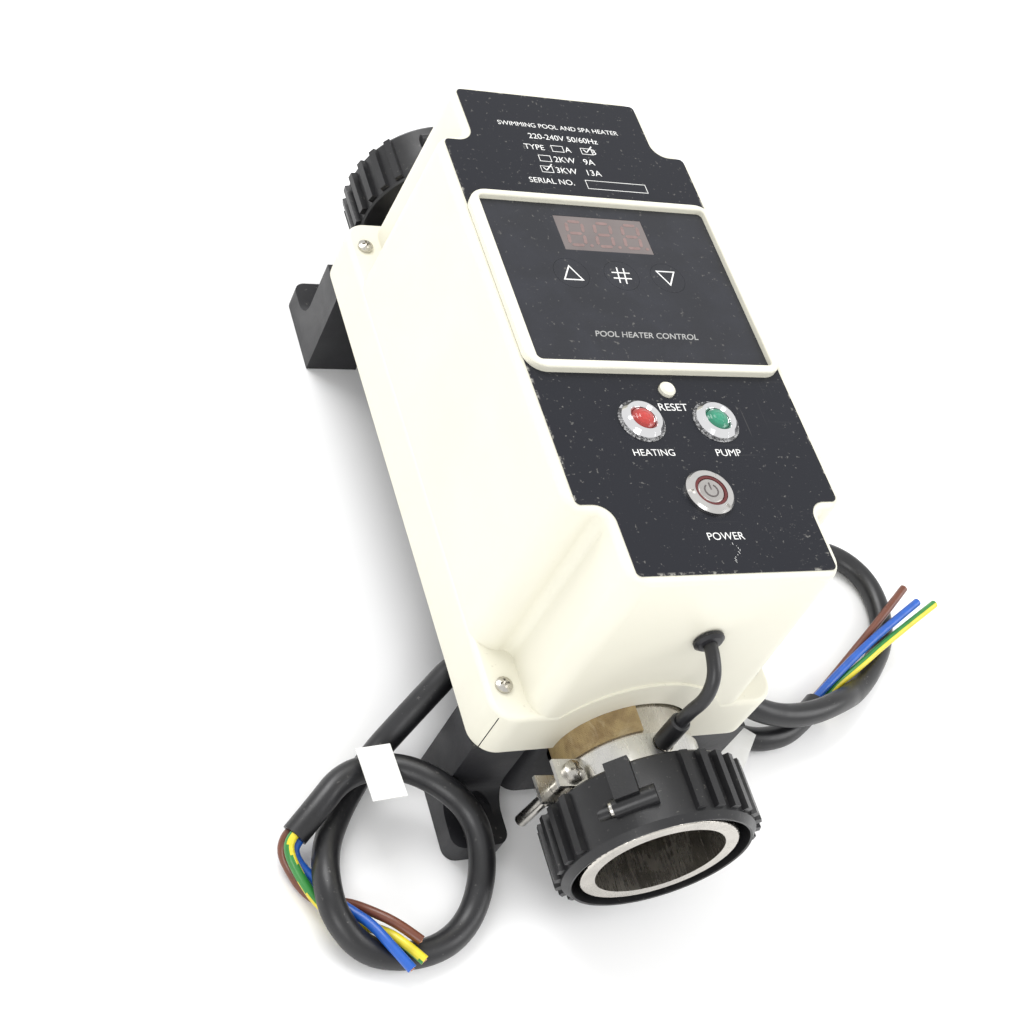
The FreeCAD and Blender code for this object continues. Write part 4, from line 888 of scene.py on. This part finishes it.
def make_digits(words):
    """Three unlit seven-segment digits, with their points, on the window."""
    centre = middle("display_window")
    tall, wide, stroke = DIGIT_TALL, DIGIT_WIDE, DIGIT_STROKE
    digits = bmesh.new()
    for place in DIGIT_PLACES:
        digit = bmesh.new()
        for y in (-tall / 2, 0, tall / 2):
            join(digit, segment(wide - stroke, stroke, 0.0, 0.0, y))
        for x in (-wide / 2, wide / 2):
            for y in (-tall / 4, tall / 4):
                join(digit, segment(tall / 2 - stroke, stroke, math.pi / 2, x, y))
        point = bmesh.new()
        bmesh.ops.create_circle(point, cap_ends=True, segments=12, radius=stroke * 0.55)
        thicken(point, PRINT_THICK)
        lay(point, Vector((wide / 2 + stroke * 1.7, -tall / 2, 0)))
        join(digit, point)
        shear = Matrix.Shear("XY", 4, (0, 0))
        shear[0][1] = math.tan(words.slant)
        bmesh.ops.transform(digit, matrix=shear, verts=digit.verts)
        lay(digit, Vector((centre.x + place * MM, centre.y, WINDOW_TOP + PRINT_LIFT)))
        join(digits, digit)
    piece("display_digits", closed("display_digits", digits), "unlit_segment")


def make_panel_words():
    place = Vector((0.9 * MM, -10.5 * MM, PANEL_TOP + PRINT_LIFT))
    mesh = lettering("POOL HEATER CONTROL", place, 42.5 * MM, slant=0.22, outline=0.012)
    piece("legend_control", mesh, "legend_grey")


# ---------------------------------------------------------------- power symbol

def make_power_symbol():
    """Open ring with a stem in its gap, on the switch cap."""
    centre = middle("switch_cap")
    centre.z = corner_high("switch_cap").z + PRINT_LIFT
    radius, stroke, gap = 2.5 * MM, 0.5 * MM, math.radians(34)
    shape = bmesh.new()
    start = [shape.verts.new((radius - stroke / 2, 0, 0)), shape.verts.new((radius + stroke / 2, 0, 0))]
    edge = shape.edges.new(start)
    turned = Matrix.Rotation(math.pi / 2 + gap, 3, "Z")
    bmesh.ops.rotate(shape, verts=shape.verts, matrix=turned)
    bmesh.ops.spin(shape, geom=[*start, edge], cent=(0, 0, 0), axis=(0, 0, 1), angle=2 * math.pi - 2 * gap,
                   steps=40)
    thicken(shape, PRINT_THICK)
    stem = plate(stroke, 2.9 * MM)
    thicken(stem, PRINT_THICK)
    lay(stem, Vector((0, 1.7 * MM, 0)))
    join(shape, stem)
    lay(shape, centre)
    piece("power_symbol", closed("power_symbol", shape), "symbol_grey", "power_body")


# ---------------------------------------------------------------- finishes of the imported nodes

GROUPS = {
    "moulded_cover": ["cover", "board_posts"],
    "frame_moulding": ["control_gasket", "reset_button"],
    "moulded_base": ["base_shell", "supply_gland", "pump_gland", "display_module", "key_switches",
                     "heater_relay", "pump_relay", "pilot_nuts", "switch_nut", "sensor_grommet"],
    "moulded_nut": ["front_nut_left", "front_nut_right", "rear_nut_left", "rear_nut_right"],
    "label_film": ["front_label"],
    "panel_film": ["control_panel", "key_up", "key_set", "key_down"],
    "smoked_window": ["display_window"],
    "laminate": ["control_board"],
    "zinc": ["inner_chassis", "reset_bracket"],
    "block_grey": ["terminal_block", "reset_thermostat"],
    "screw_steel": ["cover_screws", "front_nut_screws", "rear_nut_screws", "clamp_bolt", "clamp_nut",
                    "overheat_cutout"],
    "chrome": ["heat_light_housing", "pump_light_housing"],
    "switch_steel": ["switch_housing"],
    "cap_steel": ["switch_cap"],
    "ring_red": ["switch_ring"],
    "lens_red": ["heat_light_lens"],
    "lens_green": ["pump_light_lens"],
    "clear_film": ["pilot_washers"],
    "tube_steel": ["vessel"],
    "clamp_steel": ["clamp_strap"],
    "element_alloy": ["heating_element"],
    "brass": ["element_nuts"],
    "insulation_cloth": ["insulation_wrap"],
    "sheath_rubber": ["sensor_sleeve", "sensor_lead"],
    "flag_paper": ["supply_tag", "pump_tag"],
}


def make_finishes(finish):
    build_effects()
    FINISHES.update({
        "moulded_cover": moulded_cover(finish),
        "frame_moulding": frame_moulding(finish),
        "moulded_base": moulded_black("moulded_base", finish.base, 0.34, 0.52, 0.30),
        "moulded_nut": moulded_black("moulded_nut", finish.nut, 0.28, 0.44, 0.22),
        "label_film": label_film(finish),
        "panel_film": moulded_black("panel_film", finish.label, 0.30, 0.40, 0.04),
        "smoked_window": smoked_window(),
        "laminate": laminate(),
        "zinc": metal("zinc", (0.42, 0.43, 0.44), 0.32, 0.5, 0.1, 0.4),
        "block_grey": moulded_black("block_grey", (0.22, 0.22, 0.21), 0.4, 0.55, 0.2),
        "screw_steel": metal("screw_steel", (0.55, 0.53, 0.49), 0.16, 0.34, 0.12, 0.5),
        "chrome": metal("chrome", (0.80, 0.80, 0.81), 0.04, 0.10, 0.01, 0.1),
        "switch_steel": metal("switch_steel", (0.66, 0.65, 0.63), 0.14, 0.26, 0.06, 0.25),
        "cap_steel": metal("cap_steel", (0.52, 0.50, 0.48), 0.30, 0.45, 0.08, 0.3),
        "ring_red": insulation_colour("ring_red", (0.11, 0.012, 0.012)),
        "lens_red": lens("lens_red", (0.50, 0.022, 0.015), middle("heat_light_lens")),
        "lens_green": lens("lens_green", (0.010, 0.27, 0.15), middle("pump_light_lens")),
        "clear_film": clear_film(),
        "tube_steel": metal("tube_steel", (0.62, 0.59, 0.54), 0.16, 0.34, 0.10, 0.35),
        "clamp_steel": metal("clamp_steel", (0.66, 0.65, 0.62), 0.20, 0.38, 0.14, 0.3),
        "element_alloy": metal("element_alloy", (0.25, 0.23, 0.21), 0.35, 0.55, 0.2, 0.6),
        "brass": metal("brass", (0.60, 0.40, 0.15), 0.2, 0.4, 0.1, 0.4),
        "copper": metal("copper", (0.75, 0.42, 0.28), 0.18, 0.34, 0.1, 0.3),
        "insulation_cloth": insulation_cloth(finish),
        "sheath_rubber": sheath_rubber(finish),
        "core_brown": insulation_colour("core_brown", (0.15, 0.045, 0.022)),
        "core_blue": insulation_colour("core_blue", (0.012, 0.10, 0.46)),
        "core_earth": insulation_colour("core_earth", (0.72, 0.60, 0.03)),
        "core_green": insulation_colour("core_green", (0.03, 0.22, 0.04)),
        "flag_paper": flag_paper(),
        "legend_ink": print_ink("legend_ink", finish.legend),
        "legend_grey": print_ink("legend_grey", (0.36, 0.36, 0.35)),
        "unlit_segment": print_ink("unlit_segment", (0.24, 0.16, 0.15), 0.3),
        "symbol_grey": print_ink("symbol_grey", (0.10, 0.085, 0.085), 0.4),
    })


# ---------------------------------------------------------------- operators

class HeaterBuildStage(bpy.types.Operator):
    """Camera, floor and soft studio light"""
    bl_idname = "heater.build_stage"
    bl_label = "Stage"

    def execute(self, context):
        make_stage(context.scene.heater_stage)
        return {"FINISHED"}


class HeaterMixFinishes(bpy.types.Operator):
    """Shared effects and every finish"""
    bl_idname = "heater.mix_finishes"
    bl_label = "Finishes"

    def execute(self, context):
        make_finishes(context.scene.heater_finish)
        return {"FINISHED"}


class HeaterLayCords(bpy.types.Operator):
    """Two cords with their stripped cores"""
    bl_idname = "heater.lay_cords"
    bl_label = "Cords"

    def execute(self, context):
        make_cords(context.scene.heater_cords)
        return {"FINISHED"}


class HeaterFinishNodes(bpy.types.Operator):
    """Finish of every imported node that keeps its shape"""
    bl_idname = "heater.finish_nodes"
    bl_label = "Moulded and metal parts"

    def execute(self, context):
        for finish, nodes in GROUPS.items():
            finish_nodes(finish, *nodes)
        return {"FINISHED"}


class HeaterPrintLabel(bpy.types.Operator):
    """Legends, boxes and scuffs on the label"""
    bl_idname = "heater.print_label"
    bl_label = "Label printing"

    def execute(self, context):
        make_label_printing(context.scene.heater_printing)
        make_scuffs()
        return {"FINISHED"}


class HeaterPrintPanel(bpy.types.Operator):
    """Key symbols, display digits and words on the control panel"""
    bl_idname = "heater.print_panel"
    bl_label = "Panel printing"

    def execute(self, context):
        make_key_symbols(context.scene.heater_printing)
        make_digits(context.scene.heater_printing)
        make_panel_words()
        return {"FINISHED"}


class HeaterMarkSwitch(bpy.types.Operator):
    """Power symbol on the switch cap"""
    bl_idname = "heater.mark_switch"
    bl_label = "Power symbol"

    def execute(self, context):
        make_power_symbol()
        return {"FINISHED"}


class HeaterPanel(bpy.types.Panel):
    """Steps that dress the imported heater"""
    bl_idname = "VIEW3D_PT_heater"
    bl_label = "Pool heater"
    bl_space_type = "VIEW_3D"
    bl_region_type = "UI"
    bl_category = "Heater"

    def draw(self, context):
        for step in OPERATORS:
            self.layout.operator(step.bl_idname)


SETTINGS = {"heater_finish": HeaterFinish, "heater_cords": HeaterCords, "heater_printing": HeaterPrinting,
            "heater_stage": HeaterStage}
OPERATORS = (HeaterMixFinishes, HeaterBuildStage, HeaterLayCords, HeaterFinishNodes, HeaterPrintLabel,
             HeaterPrintPanel, HeaterMarkSwitch)


def register():
    for entry in (*SETTINGS.values(), *OPERATORS, HeaterPanel):
        bpy.utils.register_class(entry)
    for name, group in SETTINGS.items():
        setattr(bpy.types.Scene, name, PointerProperty(type=group))


def unregister():
    for name in SETTINGS:
        delattr(bpy.types.Scene, name)
    for entry in reversed((*SETTINGS.values(), *OPERATORS, HeaterPanel)):
        bpy.utils.unregister_class(entry)


def main():
    register()
    for step in OPERATORS:
        group, name = step.bl_idname.split(".")
        getattr(getattr(bpy.ops, group), name)()


if __name__ == "__main__":
    main()
